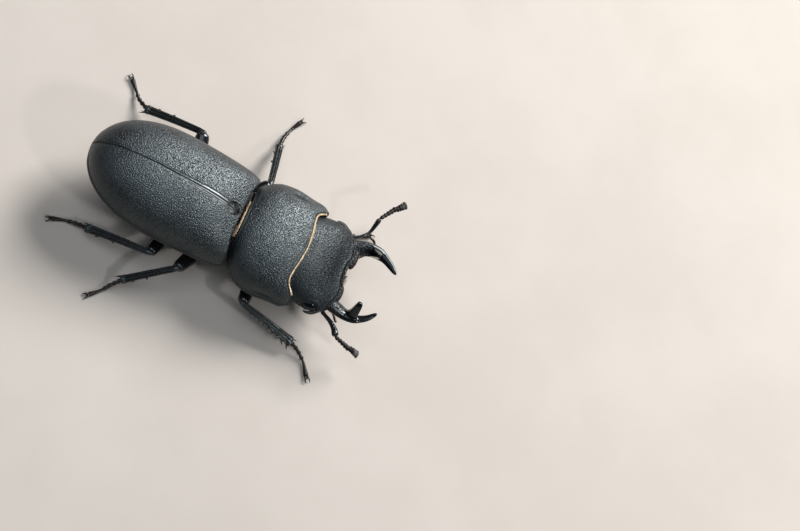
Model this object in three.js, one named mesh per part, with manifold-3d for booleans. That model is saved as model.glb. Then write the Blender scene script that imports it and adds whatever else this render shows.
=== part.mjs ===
// A male lesser stag beetle, Dorcus parallelipipedus, standing still at life size.
// Millimetres, +Z up. The head points along -Y, so the beetle's left side is +X.
// Lengths along the body are stations: millimetres forward of the wing cases' tips.
import * as THREE from "three";
import { mergeVertices } from "three/addons/utils/BufferGeometryUtils.js";
import Module from "manifold-3d";

const wasm = await Module();
wasm.setup();

// ---- driving dimensions ---------------------------------------------------------------

const GAP = 0.05; // between neighbouring plates
const MERGE = 1e-4; // shared vertices closer than this are one
const RIM_Z = 4.35; // height of the hind body's side rim above the floor

const WING = {
  length: 13.95,
  widestAt: 8.0,
  halfWidth: 4.84,
  crown: 3.5, // from the rim up to the seam between the wing cases
  lip: 0.75, // how far the side edge turns down below the rim
  wall: 0.5,
  tailPower: 2.4,
  crownPower: 3.0,
  roundness: 2.3, // of the rings: 2 is an ellipse
  fallAt: 9.5, // where the crown begins to drop towards the shoulders
  crownLoss: 0.34, // how much of it is gone at the front end
  shoulderLoss: 0.076, // how much narrower the front end is than the widest place
  shoulderPower: 2.0,
  shoulderSquare: 0.7, // how much squarer the rings are at the front end
  pitch: 0.065, // rise of the whole hind body per millimetre towards the tail
  levelAt: 9.5, // the station where the rim is at its plain height
};
const BELLY_DEPTH = 2.35; // from the rim down to the middle of the underside
const HIND_PLATE_AT = 9.42; // the station where the belly ends and the hind breastplate begins
const CHEST = { front: 13.5, depth: 2.55 };
const COLLAR = { back: 13.55, front: 14.75, halfWidth: 3.3, top: 1.75, depth: 1.8, z: 4.08 };
const COLLAR_ROUNDNESS = 2.2;
const SHIELD = { station: 13.1, halfWidth: 0.56, halfLength: 0.58, halfThick: 0.36, z: 6.52 };

const PRONOTUM = { back: 14.2, front: 21.35, lip: 0.45, roundness: 2.2 };
// The pronotum's front edge waves, and its corners reach on: [side, station] from the middle.
const PRONOTUM_EDGE = [
  [0, 20.22],
  [1.4, 20.07],
  [2.8, 19.88],
  [3.9, 20.19],
  [4.72, 21.2],
];
const PRONOTUM_CORNER = [
  [5.2, 21.3],
  [8, 23],
];
const PROSTERNUM = { back: 14.25, front: 20.5, inset: 0.35, rise: 0.3, depth: 2.45 };
const HEAD = { back: 19.55, front: 24.75, roundness: 2.5 };
// The head's front edge is hollowed over the upper lip: [side, station] from the middle.
const HEAD_EDGE = [
  [0, 24.28],
  [0.72, 24.28],
  [1.03, 24.53],
  [1.5, 24.62],
  [2.46, 24.46],
  [3.35, 24.12],
  [6, 23.9],
  [6, 26],
];
const REACH = 40; // further than any part of the beetle
const EYE = { x: 3.84, station: 22.4, z: 4.08, wide: 0.56, long: 0.82, tall: 0.72 };
const LABRUM = { halfWidth: 0.78, back: 23.9, front: 24.62, z: 3.72, halfThick: 0.27 };
const MENTUM = { halfWidth: 1.5, back: 22.2, front: 24.1, z: 2.28, halfThick: 0.3 };
const PLATE_PINCH = 0.18; // how much narrower these two are at their ends

const JAW_LINE = [
  [2.6, 23.6, 3.75],
  [2.95, 24.7, 3.82],
  [3.25, 25.7, 3.95],
  [3.2, 26.7, 4.0],
  [2.75, 27.5, 4.15],
  [2.1, 28.2, 4.4],
];
const JAW_TOOTH = [
  [3.05, 26.2, 3.9],
  [2.65, 26.3, 4.75],
  [2.33, 26.3, 5.6],
];
const JAW = {
  root: { wide: 0.68, deep: 0.58 },
  blade: { wide: 0.44, deep: 0.25 },
  slimFrom: 0.42, // along the jaw, where the root begins to pass into the blade
  slimTo: 0.66,
  lean: 0.55, // rise of the flat blade towards its outer edge
  toothThick: 0.56,
};
const HEAD_TURN = THREE.MathUtils.degToRad(2.5); // towards its left, about the neck
const NECK_AT = 20.5;

const COXA = { long: 0.72, tall: 0.68, rise: 0.12 };
const COXA_WIDE = { front: 1.0, middle: 1.0, hind: 1.5 };
const COXA_SHIFT = { front: -0.1, middle: -0.1, hind: 0.35 }; // outwards from the hip
const FEMUR = { wide: 0.72, deep: 0.52, start: 0.25, sag: 0.12 };
const TIBIA = { neck: 0.3, deep: 0.3, pastKnee: 0.05, arch: 0.1 };
const TIBIA_END = { front: 0.52, middle: 0.35, hind: 0.38 }; // half width at the ankle
const TARSUS = {
  joints: 4,
  thick: 0.25,
  waist: 0.17,
  last: 0.23,
  shortPart: 0.62, // share of the foot's length that the short joints take
  pastAnkle: 0.035,
};
const CLAW = {
  long: 0.8,
  thick: 0.17,
  spread: 0.34,
  drop: 0.12, // height of the tips
  arch: 0.1,
  root: 0.12,
  apart: 0.07,
};
const SCAPE = { thin: 0.25, thick: 0.34 };
const FUNICLE = { beads: 5, thick: 0.26, waist: 0.2 };
const CLUB = { plates: 4, wide: 0.52, deep: 0.27, waist: 0.26 };
const PALP = { thick: 0.25, waist: 0.18 };
const PALP_LINES = {
  left: [
    [2.05, 24.1, 2.4],
    [3.3, 25.45, 2.3],
    [4.5, 26.1, 2.55],
    [4.95, 25.75, 2.75],
    [4.95, 25.3, 2.85],
  ],
  right: [
    [-1.75, 23.7, 2.45],
    [-2.5, 24.8, 2.25],
    [-3.45, 25.6, 2.45],
  ],
};

// The half width and the heights of the plates change smoothly between these stations.
const pronotumHalfWidth = profile([
  [14.2, 2.8],
  [14.85, 4.0],
  [15.8, 4.82],
  [17.2, 5.2],
  [19.2, 5.07],
  [20.5, 4.9],
  [21.35, 4.25],
]);
const pronotumTop = profile([
  [14.2, 6.6],
  [15.2, 7.0],
  [17.2, 7.2],
  [19.0, 6.95],
  [20.3, 6.5],
  [21.35, 6.0],
]);
const pronotumRim = profile([
  [14.2, 4.5],
  [16, 3.98],
  [19, 3.92],
  [21.35, 4.05],
]);
const headHalfWidth = profile([
  [19.55, 3.6],
  [21, 3.95],
  [22.1, 4.2],
  [22.9, 4.22],
  [23.5, 4.0],
  [24.15, 3.42],
  [24.75, 2.7],
]);
const headTop = profile([
  [19.55, 6.25],
  [21, 6.12],
  [22.2, 5.75],
  [23.4, 5.2],
  [24.3, 4.72],
  [24.75, 4.4],
]);
const headSide = profile([
  [19.55, 4.25],
  [22, 4.1],
  [24.75, 3.85],
]);
const headUnder = profile([
  [19.55, 2.35],
  [21, 2.15],
  [23.2, 2.35],
  [24.75, 3.05],
]);

// The pose: where each leg bends, as [left or right, forward station, height].
const LEGS = {
  front_left: {
    hip: [1.35, 17.3, 2.0],
    knee: [4.95, 17.5, 2.7],
    ankle: [4.85, 23.0, 1.0],
    foot: [
      [5.3, 23.9, 0.5],
      [5.7, 24.8, 0.24],
      [6.25, 25.55, 0.2],
    ],
    toe: [6.2, 26.35],
  },
  middle_left: {
    hip: [1.75, 12.75, 1.85],
    knee: [5.1, 15.35, 3.0],
    ankle: [9.7, 14.85, 1.0],
    foot: [
      [10.9, 14.95, 0.5],
      [12.1, 15.3, 0.22],
      [13.05, 15.75, 0.2],
    ],
    toe: [13.65, 16.2],
  },
  hind_left: {
    hip: [1.6, 9.35, 1.8],
    knee: [6.4, 8.15, 3.45],
    ankle: [7.1, 2.55, 1.0],
    foot: [
      [7.75, 1.75, 0.5],
      [8.6, 1.05, 0.22],
      [9.15, 0.5, 0.2],
    ],
    toe: [9.65, -0.15],
  },
  front_right: {
    hip: [-1.35, 17.3, 2.0],
    knee: [-5.9, 17.5, 2.95],
    ankle: [-6.2, 23.25, 1.0],
    foot: [
      [-6.5, 24.05, 0.5],
      [-7.2, 24.85, 0.22],
      [-8.1, 25.4, 0.2],
    ],
    toe: [-9.0, 26.1],
  },
  middle_right: {
    hip: [-1.75, 12.75, 1.85],
    knee: [-5.85, 11.1, 3.3],
    ankle: [-8.2, 7.4, 1.0],
    foot: [
      [-8.8, 6.85, 0.5],
      [-9.7, 6.2, 0.22],
      [-10.4, 5.5, 0.2],
    ],
    toe: [-11.05, 4.85],
  },
  hind_right: {
    hip: [-1.6, 9.35, 1.8],
    knee: [-5.6, 8.45, 3.1],
    ankle: [-5.38, 2.75, 1.0],
    foot: [
      [-5.25, 1.85, 0.5],
      [-5.4, 0.8, 0.22],
      [-5.75, -0.15, 0.2],
    ],
    toe: [-6.3, -1.15],
  },
};
const FRONT_TEETH = [0.34, 0.43, 0.52, 0.61, 0.7, 0.79, 0.9]; // places along the front tibia
const FRONT_TOOTH = { first: 0.16, growth: 0.055, thick: 0.17, thicken: 0.012 };
const SIDE_TOOTH = { at: 0.55, long: 0.3, thick: 0.14 };
const SPUR = { long: 0.34, thick: 0.15 };
const END_TOOTH_AT = 0.9;

const ANTENNAE = {
  left: {
    base: [3.95, 23.9, 3.3],
    bend: [5.15, 25.05, 3.35],
    elbow: [6.45, 25.25, 4.2],
    clubBase: [8.2, 26.25, 3.6],
    tip: [9.3, 27.05, 3.3],
  },
  right: {
    base: [-3.45, 23.95, 3.3],
    bend: [-4.3, 25.3, 3.7],
    elbow: [-5.15, 25.85, 3.8],
    clubBase: [-5.2, 27.5, 2.75],
    tip: [-5.3, 28.6, 2.3],
  },
};

// ---- materials ------------------------------------------------------------------------

const finish = (color, roughness) =>
  new THREE.MeshStandardMaterial({ color, roughness, metalness: 0 });
const SHELL = () => finish("#22262b", 0.5);
const UNDERSIDE = () => finish("#17181a", 0.45);
const LIMB = () => finish("#121315", 0.32);
const GLOSS_BLACK = () => finish("#101113", 0.25);
const EYE_GLOSS = () => finish("#060607", 0.12);
const CLAW_BROWN = () => finish("#2a1a12", 0.35);
const CLUB_GREY = () => finish("#6d675f", 0.7);

// ---- shape helpers --------------------------------------------------------------------

/** A smooth function of the station through a few [station, value] pairs. */
function profile(pairs) {
  const stations = pairs.map((pair) => pair[0]);
  const values = pairs.map((pair) => pair[1]);
  const curve = new THREE.CubicInterpolant(stations, values, 1);
  return (station) => curve.evaluate(station)[0];
}

/** A point from [side, station, height]. */
function at([side, station, height]) {
  return new THREE.Vector3(side, -station, height);
}

const STRAIGHT = new THREE.Matrix4();
const TURNED = new THREE.Matrix4()
  .makeTranslation(0, -NECK_AT, 0)
  .multiply(new THREE.Matrix4().makeRotationZ(HEAD_TURN))
  .multiply(new THREE.Matrix4().makeTranslation(0, NECK_AT, 0));

/** Numbers from first to last, closer together towards the first by the given power. */
function spread(first, last, count, power = 1) {
  const steps = Array.from({ length: count }, (_, i) => (i / (count - 1)) ** power);
  return steps.map((step) => first + (last - first) * step);
}

/** A closed body on a sphere's grid: place(row, angle) gives each vertex, pole to pole. */
function sphereGrid(rows, sides, place) {
  const geometry = new THREE.SphereGeometry(1, sides, rows);
  const position = geometry.attributes.position;
  for (let row = 0; row <= rows; row += 1) {
    for (let column = 0; column <= sides; column += 1) {
      const point = place(row, (2 * Math.PI * (column % sides)) / sides);
      position.setXYZ(row * (sides + 1) + column, point.x, point.y, point.z);
    }
  }
  return geometry;
}

/** A geometry, moved to its pose, as a solid that can be joined and cut. */
function solidOf(geometry, pose = STRAIGHT) {
  const bare = geometry.clone().applyMatrix4(pose);
  bare.deleteAttribute("normal");
  bare.deleteAttribute("uv");
  const merged = mergeVertices(bare, MERGE);
  return new wasm.Manifold(
    new wasm.Mesh({
      numProp: 3,
      vertProperties: merged.attributes.position.array,
      triVerts: new Uint32Array(merged.index.array),
    }),
  );
}

/** A solid back as a geometry. */
function geometryOf(solid) {
  const mesh = solid.getMesh();
  const geometry = new THREE.BufferGeometry();
  geometry.setAttribute("position", new THREE.BufferAttribute(mesh.vertProperties, 3));
  geometry.setIndex(new THREE.BufferAttribute(mesh.triVerts, 1));
  geometry.computeVertexNormals();
  return geometry;
}

/** The point of an oval ring at an angle: `up` above its middle line and `down` below it. */
function ovalPoint(angle, wide, up, down, power) {
  const c = Math.cos(angle);
  const s = Math.sin(angle);
  const x = -wide * Math.sign(c) * Math.abs(c) ** (2 / power);
  const z = (s > 0 ? up : down) * Math.sign(s) * Math.abs(s) ** (2 / power);
  return [x, z];
}

/** A piece of the trunk: oval rings at the stations, tail first, with flat ends. */
function trunk(stations, sides, ringAt, pose) {
  const rows = stations.length + 1;
  const grid = sphereGrid(rows, sides, (row, angle) => {
    const station = stations[Math.min(Math.max(row - 1, 0), stations.length - 1)];
    const ring = ringAt(station);
    if (row === 0 || row === rows) return at([0, station, ring.z]);
    const [x, z] = ovalPoint(angle, ring.wide, ring.up, ring.down, ring.power);
    return at([x, station, ring.z + z]);
  });
  return solidOf(grid, pose);
}

/** An egg with three half sizes at a point. */
function egg(centre, wide, long, tall, sides, rows, pose) {
  const grid = new THREE.SphereGeometry(1, sides, rows);
  grid.scale(wide, long, tall);
  grid.translate(centre.x, centre.y, centre.z);
  return solidOf(grid, pose);
}

/** A block between two corners. */
function block(low, high) {
  const size = high.clone().sub(low);
  const box = new THREE.BoxGeometry(size.x, size.y, size.z);
  const middle = low.clone().add(high).multiplyScalar(0.5);
  box.translate(middle.x, middle.y, middle.z);
  return solidOf(box);
}

/** A limb: rings along a curve, each stop giving a place and its two half sizes. */
function limb(curve, stops, sides, edge, pose) {
  const rows = stops.length - 1;
  const frames = stops.map((stop) => {
    const forward = curve.getTangentAt(stop.at);
    const across = edge.clone().addScaledVector(forward, -edge.dot(forward)).normalize();
    const through = forward.clone().cross(across);
    return { centre: curve.getPointAt(stop.at), across, through };
  });
  const grid = sphereGrid(rows, sides, (row, angle) => {
    const { centre, across, through } = frames[row];
    const point = centre.clone();
    point.addScaledVector(across, -stops[row].wide * Math.cos(angle));
    return point.addScaledVector(through, stops[row].deep * Math.sin(angle));
  });
  return solidOf(grid, pose);
}

/** Stops with round ends: size(t) gives the half sizes [wide, deep] along the limb. */
function roundStops(count, roundness, size, grow) {
  return spread(0, 1, count).map((step) => {
    const t = 0.5 - 0.5 * Math.cos(Math.PI * step);
    const fromEnd = Math.min(t, 1 - t, roundness) / roundness;
    const cap = Math.sqrt(1 - (1 - fromEnd) ** 2);
    const [wide, deep] = size(t);
    const skin = cap > 0 ? grow : 0;
    return { at: t, wide: wide * cap + skin, deep: deep * cap + skin };
  });
}

/** Stops of a string of beads from one place to another: narrow, wide, wide, narrow. */
function beadStops(from, to, beads, waist, wide, deep) {
  const step = (to - from) / beads;
  const stops = [];
  for (let bead = 0; bead < beads; bead += 1) {
    const start = from + bead * step;
    stops.push({ at: start + 0.04 * step, wide: waist, deep: waist });
    stops.push({ at: start + 0.62 * step, wide, deep });
    stops.push({ at: start + 0.9 * step, wide: 0.94 * wide, deep: 0.94 * deep });
  }
  return stops;
}

/** A prism for cutting fronts off: an edge of [side, station] points, the same on both sides. */
function frontCutter(edge, pose) {
  const half = edge.map(([side, station]) => new THREE.Vector2(side, -station));
  const other = half.slice(1).map((point) => new THREE.Vector2(-point.x, point.y));
  const shape = new THREE.Shape([...other.reverse(), ...half]);
  return solidOf(new THREE.ExtrudeGeometry(shape, { depth: REACH, bevelEnabled: false }), pose);
}

/** A pointed horn from its root along a curve, thinning to the tip. */
function horn(points, thick, sides, rings, pose) {
  const curve = new THREE.CatmullRomCurve3(points);
  const stops = spread(0, 1, rings).map((t) => {
    const end = t === 0 || t === 1;
    const half = end ? 0 : thick * (1 - 0.8 * t);
    return { at: t, wide: half, deep: half };
  });
  stops[1].at = 0.04;
  const edge = new THREE.Vector3(0.3, 0.2, 1);
  return limb(curve, stops, sides, edge, pose);
}

// ---- trunk ----------------------------------------------------------------------------

/** How the wing cases narrow towards the tail and, a little, towards the shoulders. */
function wingTaper(station, power) {
  const { widestAt, length, shoulderLoss, shoulderPower } = WING;
  if (station < widestAt) {
    return Math.sqrt(Math.max(0, 1 - ((widestAt - station) / widestAt) ** power));
  }
  return 1 - shoulderLoss * ((station - widestAt) / (length - widestAt)) ** shoulderPower;
}

/** The height of the hind body's rim at a station. */
function hindRim(station) {
  return RIM_Z + WING.pitch * (WING.levelAt - station);
}

/** The outer ring of the wing cases at a station. */
function wingRing(station) {
  const fall = Math.max(0, station - WING.fallAt) / (WING.length - WING.fallAt);
  const crownLoss = 1 - WING.crownLoss * fall ** 2;
  return {
    wide: WING.halfWidth * wingTaper(station, WING.tailPower),
    up: WING.crown * wingTaper(Math.min(station, WING.widestAt), WING.crownPower) * crownLoss,
    down: WING.lip * wingTaper(station, WING.tailPower),
    z: hindRim(station),
    power: WING.roundness + WING.shoulderSquare * fall ** 2,
  };
}

/** The ring of the body under the wing cases at a station. */
function bodyRing(station, grow = 0) {
  const outer = wingRing(station);
  const depth = station > HIND_PLATE_AT ? CHEST.depth : BELLY_DEPTH;
  const taper = wingTaper(Math.min(station, WING.widestAt), 2);
  return {
    wide: Math.max(0.1, outer.wide - WING.wall) + grow,
    up: Math.max(0.1, outer.up - WING.wall) + grow,
    down: Math.max(0.1, depth * taper) + grow,
    z: outer.z,
    power: outer.power,
  };
}

function wingCavity() {
  const stations = spread(0.42, WING.length + 0.6, 10, 1.35);
  return trunk(stations, 16, (station) => bodyRing(Math.min(station, WING.length), GAP));
}

function shield(grow) {
  const centre = at([0, SHIELD.station, SHIELD.z]);
  const { halfWidth, halfLength, halfThick } = SHIELD;
  return egg(centre, halfWidth + grow, halfLength + grow, halfThick + grow, 10, 6);
}

function wingCases() {
  const stations = spread(0.03, WING.length, 12, 1.5);
  const both = trunk(stations, 24, wingRing).subtract(wingCavity()).subtract(shield(GAP));
  const left = both.intersect(block(at([GAP / 2, REACH, 0]), at([REACH, -REACH, REACH])));
  const right = both.intersect(block(at([-REACH, REACH, 0]), at([-GAP / 2, -REACH, REACH])));
  return { left, right };
}

function belly() {
  return trunk(spread(0.5, HIND_PLATE_AT, 6, 1.4), 14, (station) => bodyRing(station));
}

function chest() {
  const stations = spread(HIND_PLATE_AT + GAP, CHEST.front, 3);
  return trunk(stations, 14, (station) => bodyRing(station + GAP, -GAP / 2));
}

function collar(grow) {
  const ring = {
    wide: COLLAR.halfWidth + grow,
    up: COLLAR.top + grow,
    down: COLLAR.depth + grow,
    z: COLLAR.z,
    power: COLLAR_ROUNDNESS,
  };
  return trunk([COLLAR.back, COLLAR.front + grow], 14, () => ring);
}

function pronotumRing(station, grow = 0) {
  return {
    wide: pronotumHalfWidth(station) + grow,
    up: pronotumTop(station) - pronotumRim(station) + grow,
    down: PRONOTUM.lip + grow,
    z: pronotumRim(station),
    power: PRONOTUM.roundness,
  };
}

function pronotumFrontCut() {
  const points = PRONOTUM_EDGE.map(([side, station]) => new THREE.Vector2(side, station));
  const wave = new THREE.SplineCurve(points).getPoints(10).map((point) => point.toArray());
  return frontCutter([...wave, ...PRONOTUM_CORNER]);
}

function pronotum(grow = 0) {
  const stations = spread(PRONOTUM.back - grow, PRONOTUM.front, 8);
  return trunk(stations, 20, (station) => pronotumRing(station, grow));
}

function prosternum() {
  const stations = spread(PROSTERNUM.back, PROSTERNUM.front, 4);
  return trunk(stations, 12, (station) => {
    const outer = pronotumRing(station);
    const wide = outer.wide - PROSTERNUM.inset;
    return { ...outer, wide, up: PROSTERNUM.rise, down: PROSTERNUM.depth };
  });
}

function headRing(station, grow = 0) {
  return {
    wide: headHalfWidth(station) + grow,
    up: headTop(station) - headSide(station) + grow,
    down: headSide(station) - headUnder(station) + grow,
    z: headSide(station),
    power: HEAD.roundness,
  };
}

function head(grow = 0) {
  const stations = spread(HEAD.back - grow, HEAD.front, 8);
  return trunk(stations, 18, (station) => headRing(station, grow), TURNED);
}

function eye(side, grow = 0) {
  const centre = at([side * EYE.x, EYE.station, EYE.z]);
  return egg(centre, EYE.wide + grow, EYE.long + grow, EYE.tall + grow, 9, 6, TURNED);
}

function plate({ halfWidth, back, front, z, halfThick }, grow = 0) {
  const stations = spread(back, front, 4);
  const middle = (back + front) / 2;
  return trunk([back - grow, ...stations.slice(1, 3), front + grow], 8, (station) => {
    const pinch = 1 - PLATE_PINCH * (Math.abs(station - middle) / (front - middle)) ** 2;
    const thick = halfThick + grow;
    return { wide: halfWidth * pinch + grow, up: thick, down: thick, z, power: HEAD.roundness };
  }, TURNED);
}

/** A jaw: broad at its root, with one upright inner tooth, and slender beyond it. */
function mandible(side, grow = 0) {
  const points = JAW_LINE.map(([x, station, z]) => at([side * x, station, z]));
  const centreLine = new THREE.CatmullRomCurve3(points);
  const size = (t) => {
    const slim = THREE.MathUtils.smoothstep(t, JAW.slimFrom, JAW.slimTo);
    const wide = THREE.MathUtils.lerp(JAW.root.wide, JAW.blade.wide, slim) * (1 - 0.35 * t ** 4);
    const deep = THREE.MathUtils.lerp(JAW.root.deep, JAW.blade.deep, slim) * (1 - 0.3 * t ** 4);
    return [wide, deep];
  };
  const stops = roundStops(10, 0.08, size, grow);
  const blade = limb(centreLine, stops, 8, new THREE.Vector3(side, 0, JAW.lean), TURNED);
  if (grow > 0) return blade;
  const toothLine = JAW_TOOTH.map(([x, station, z]) => at([side * x, station, z]));
  return blade.add(horn(toothLine, JAW.toothThick, 7, 4, TURNED));
}

// ---- feelers --------------------------------------------------------------------------

const UPWARD = new THREE.Vector3(0, 0, 1);

function scape(side, places, grow = 0) {
  const line = new THREE.CatmullRomCurve3([at(places.base), at(places.bend), at(places.elbow)]);
  const size = (t) => {
    const half = THREE.MathUtils.lerp(SCAPE.thin, SCAPE.thick, t ** 2);
    return [half, half];
  };
  return limb(line, roundStops(6, 0.1, size, grow), 6, UPWARD);
}

/** Stops of a string of beads that is closed at both ends. */
function closedBeads(beads, waist, wide, deep) {
  const tip = { wide: 0, deep: 0 };
  return [{ at: 0, ...tip }, ...beadStops(0.04, 0.98, beads, waist, wide, deep), { at: 1, ...tip }];
}

function funicle(side, places, grow = 0) {
  const line = new THREE.LineCurve3(at(places.elbow), at(places.clubBase));
  const thick = FUNICLE.thick + grow;
  return limb(line, closedBeads(FUNICLE.beads, FUNICLE.waist + grow, thick, thick), 5, UPWARD);
}

function club(side, places) {
  const tip = at(places.tip);
  const line = new THREE.LineCurve3(at(places.clubBase).lerp(tip, -0.12), tip);
  const across = new THREE.Vector3(side, -0.4, 0.2);
  return limb(line, closedBeads(CLUB.plates, CLUB.waist, CLUB.wide, CLUB.deep), 6, across);
}

function palp(side, grow = 0) {
  const points = PALP_LINES[side > 0 ? "left" : "right"].map(at);
  const size = (t) => {
    const half = PALP.thick * (1 - PALP.waist * Math.cos(6 * Math.PI * t));
    return [half, half];
  };
  return limb(new THREE.CatmullRomCurve3(points), roundStops(6, 0.12, size, grow), 5, UPWARD);
}

// ---- legs -----------------------------------------------------------------------------

/** The outward direction across a leg piece, level with the floor. */
function outward(from, to, side) {
  const along = to.clone().sub(from).normalize();
  const across = new THREE.Vector3(-along.y, along.x, 0).normalize();
  return across.x * side < 0 ? across.negate() : across;
}

const pairOf = (name) => name.split("_")[0];

function coxa(leg, name, side, grow = 0) {
  const pair = pairOf(name);
  const centre = at(leg.hip).add(new THREE.Vector3(side * COXA_SHIFT[pair], 0, COXA.rise));
  return egg(centre, COXA_WIDE[pair] + grow, COXA.long + grow, COXA.tall + grow, 8, 5);
}

function femur(leg, side, grow = 0) {
  const hip = at(leg.hip);
  const knee = at(leg.knee);
  const reach = knee.clone().sub(hip).normalize();
  const start = hip.clone().addScaledVector(reach, FEMUR.start);
  const middle = start.clone().lerp(knee, 0.5).addScaledVector(UPWARD, -FEMUR.sag);
  const line = new THREE.CatmullRomCurve3([start, middle, knee]);
  const size = (t) => {
    const swell = Math.sin(Math.PI * Math.min(1, 0.18 + 0.72 * t)) ** 0.7;
    return [FEMUR.wide * (0.45 + 0.55 * swell), FEMUR.deep * (0.55 + 0.45 * swell)];
  };
  return limb(line, roundStops(7, 0.1, size, grow), 8, outward(start, knee, 1));
}

function tibiaLine(leg) {
  const knee = at(leg.knee);
  const ankle = at(leg.ankle);
  const start = knee.clone().lerp(ankle, -TIBIA.pastKnee);
  const middle = start.clone().lerp(ankle, 0.5).addScaledVector(UPWARD, TIBIA.arch);
  return new THREE.CatmullRomCurve3([start, middle, ankle]);
}

/** The direction in which a tibia's outer edge with its teeth points. */
function tibiaEdge(leg, name, side) {
  if (name === "middle_left") return new THREE.Vector3(0, 1, 0);
  return outward(at(leg.knee), at(leg.ankle), side);
}

function tibia(leg, name, side, grow = 0) {
  const pair = pairOf(name);
  const line = tibiaLine(leg);
  const edge = tibiaEdge(leg, name, side);
  const widthAt = (t) => THREE.MathUtils.lerp(TIBIA.neck, TIBIA_END[pair], t ** 1.4);
  const stops = roundStops(7, 0.03, (t) => [widthAt(t), TIBIA.deep], grow);
  const shaft = limb(line, stops, 6, edge);
  if (grow > 0) return shaft;
  const forward = at(leg.ankle).sub(at(leg.knee)).normalize();
  const tooth = (place, long, thick, direction) => {
    const root = line.getPointAt(place).addScaledVector(edge, 0.35 * widthAt(place) * direction);
    const tip = line.getPointAt(place).addScaledVector(edge, (widthAt(place) + long) * direction);
    tip.addScaledVector(forward, 0.8 * long);
    return horn([root, root.clone().lerp(tip, 0.55), tip], thick, 4, 3);
  };
  const frontTeeth = () =>
    FRONT_TEETH.map((place, i) => {
      const long = FRONT_TOOTH.first + FRONT_TOOTH.growth * i;
      return tooth(place, long, FRONT_TOOTH.thick + FRONT_TOOTH.thicken * i, 1);
    });
  const { long: sideLong, thick: sideThick } = SIDE_TOOTH;
  const sideTeeth = () =>
    [SIDE_TOOTH.at, END_TOOTH_AT].map((place) => tooth(place, sideLong, sideThick, 1));
  const teeth = pair === "front" ? frontTeeth() : sideTeeth();
  teeth.push(tooth(END_TOOTH_AT, SPUR.long, SPUR.thick, -1));
  return teeth.reduce((whole, piece) => whole.add(piece), shaft);
}

/** One claw of the pair at a foot's end, on the side given by `way`. */
function claw(end, reach, way) {
  const across = new THREE.Vector3(-reach.y, reach.x, 0).multiplyScalar(way);
  const root = end.clone().addScaledVector(reach, -CLAW.root).addScaledVector(across, CLAW.apart);
  const arch = end.clone().addScaledVector(reach, 0.45 * CLAW.long);
  arch.addScaledVector(across, 0.75 * CLAW.spread);
  arch.z += CLAW.arch;
  const tip = end.clone().addScaledVector(reach, CLAW.long).addScaledVector(across, CLAW.spread);
  tip.z = CLAW.drop;
  return horn([root, arch, tip], CLAW.thick, 4, 4);
}

/** Four short foot joints, one long one, and a pair of curved claws, flat where they stand. */
function tarsus(leg, grow = 0) {
  const feet = leg.foot.map(at);
  const start = at(leg.ankle).lerp(at(leg.knee), TARSUS.pastAnkle);
  const line = new THREE.CatmullRomCurve3([start, ...feet]);
  const thick = TARSUS.thick + grow;
  const waist = TARSUS.waist + grow;
  const last = TARSUS.last + grow;
  const stops = [
    { at: 0, wide: 0, deep: 0 },
    ...beadStops(0.02, TARSUS.shortPart, TARSUS.joints, waist, thick, thick),
    { at: TARSUS.shortPart + 0.03, wide: waist, deep: waist },
    { at: 0.85, wide: last, deep: last },
    { at: 0.975, wide: thick, deep: last },
    { at: 1, wide: 0, deep: 0 },
  ];
  const chain = limb(line, stops, 5, UPWARD);
  if (grow > 0) return chain;
  const end = feet[feet.length - 1];
  const reach = at([...leg.toe, end.z]).sub(end).normalize();
  const whole = chain.add(claw(end, reach, 1)).add(claw(end, reach, -1));
  return whole.subtract(block(at([-REACH, REACH, -1]), at([REACH, -REACH, 0])));
}

// ---- the beetle -----------------------------------------------------------------------

const beetle = new THREE.Group();

function show(name, solid, material) {
  const mesh = new THREE.Mesh(geometryOf(solid), material);
  mesh.name = name;
  beetle.add(mesh);
}

const sideOf = (name) => (name.endsWith("left") ? 1 : -1);
const legNames = Object.keys(LEGS);

/** A trunk plate with room for the hips and thighs that lie against it. */
function clearOfLegs(solid) {
  return legNames.reduce((rest, name) => {
    const leg = LEGS[name];
    const cleared = rest.subtract(coxa(leg, name, sideOf(name), GAP));
    return cleared.subtract(femur(leg, sideOf(name), GAP));
  }, solid);
}

const cases = wingCases();
show("elytron_left", clearOfLegs(cases.left), SHELL());
show("elytron_right", clearOfLegs(cases.right), SHELL());
const aheadOfChest = block(at([-REACH, REACH, 0]), at([REACH, CHEST.front + GAP, REACH]));
show("scutellum", shield(0).subtract(aheadOfChest), SHELL());
show("abdomen", clearOfLegs(belly()), UNDERSIDE());
show("metathorax", clearOfLegs(chest()).subtract(shield(GAP)), UNDERSIDE());
show("mesothorax", collar(0), UNDERSIDE());

const neck = head(GAP).add(collar(GAP));
show("pronotum", clearOfLegs(pronotum().subtract(pronotumFrontCut()).subtract(neck)), SHELL());
const breast = prosternum().subtract(pronotum(GAP)).subtract(neck);
show("prosternum", clearOfLegs(breast), UNDERSIDE());

const SIDES = { left: 1, right: -1 };
const mouth = [frontCutter(HEAD_EDGE, TURNED), plate(LABRUM, GAP), plate(MENTUM, GAP)];
for (const [word, side] of Object.entries(SIDES)) {
  mouth.push(eye(side, GAP), mandible(side, GAP), palp(side, GAP));
  mouth.push(scape(side, ANTENNAE[word], GAP));
}
show("head", mouth.reduce((rest, piece) => rest.subtract(piece), head()), SHELL());
show("labrum", plate(LABRUM), GLOSS_BLACK());
show("mentum", plate(MENTUM).subtract(palp(1, GAP)).subtract(palp(-1, GAP)), UNDERSIDE());

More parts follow.
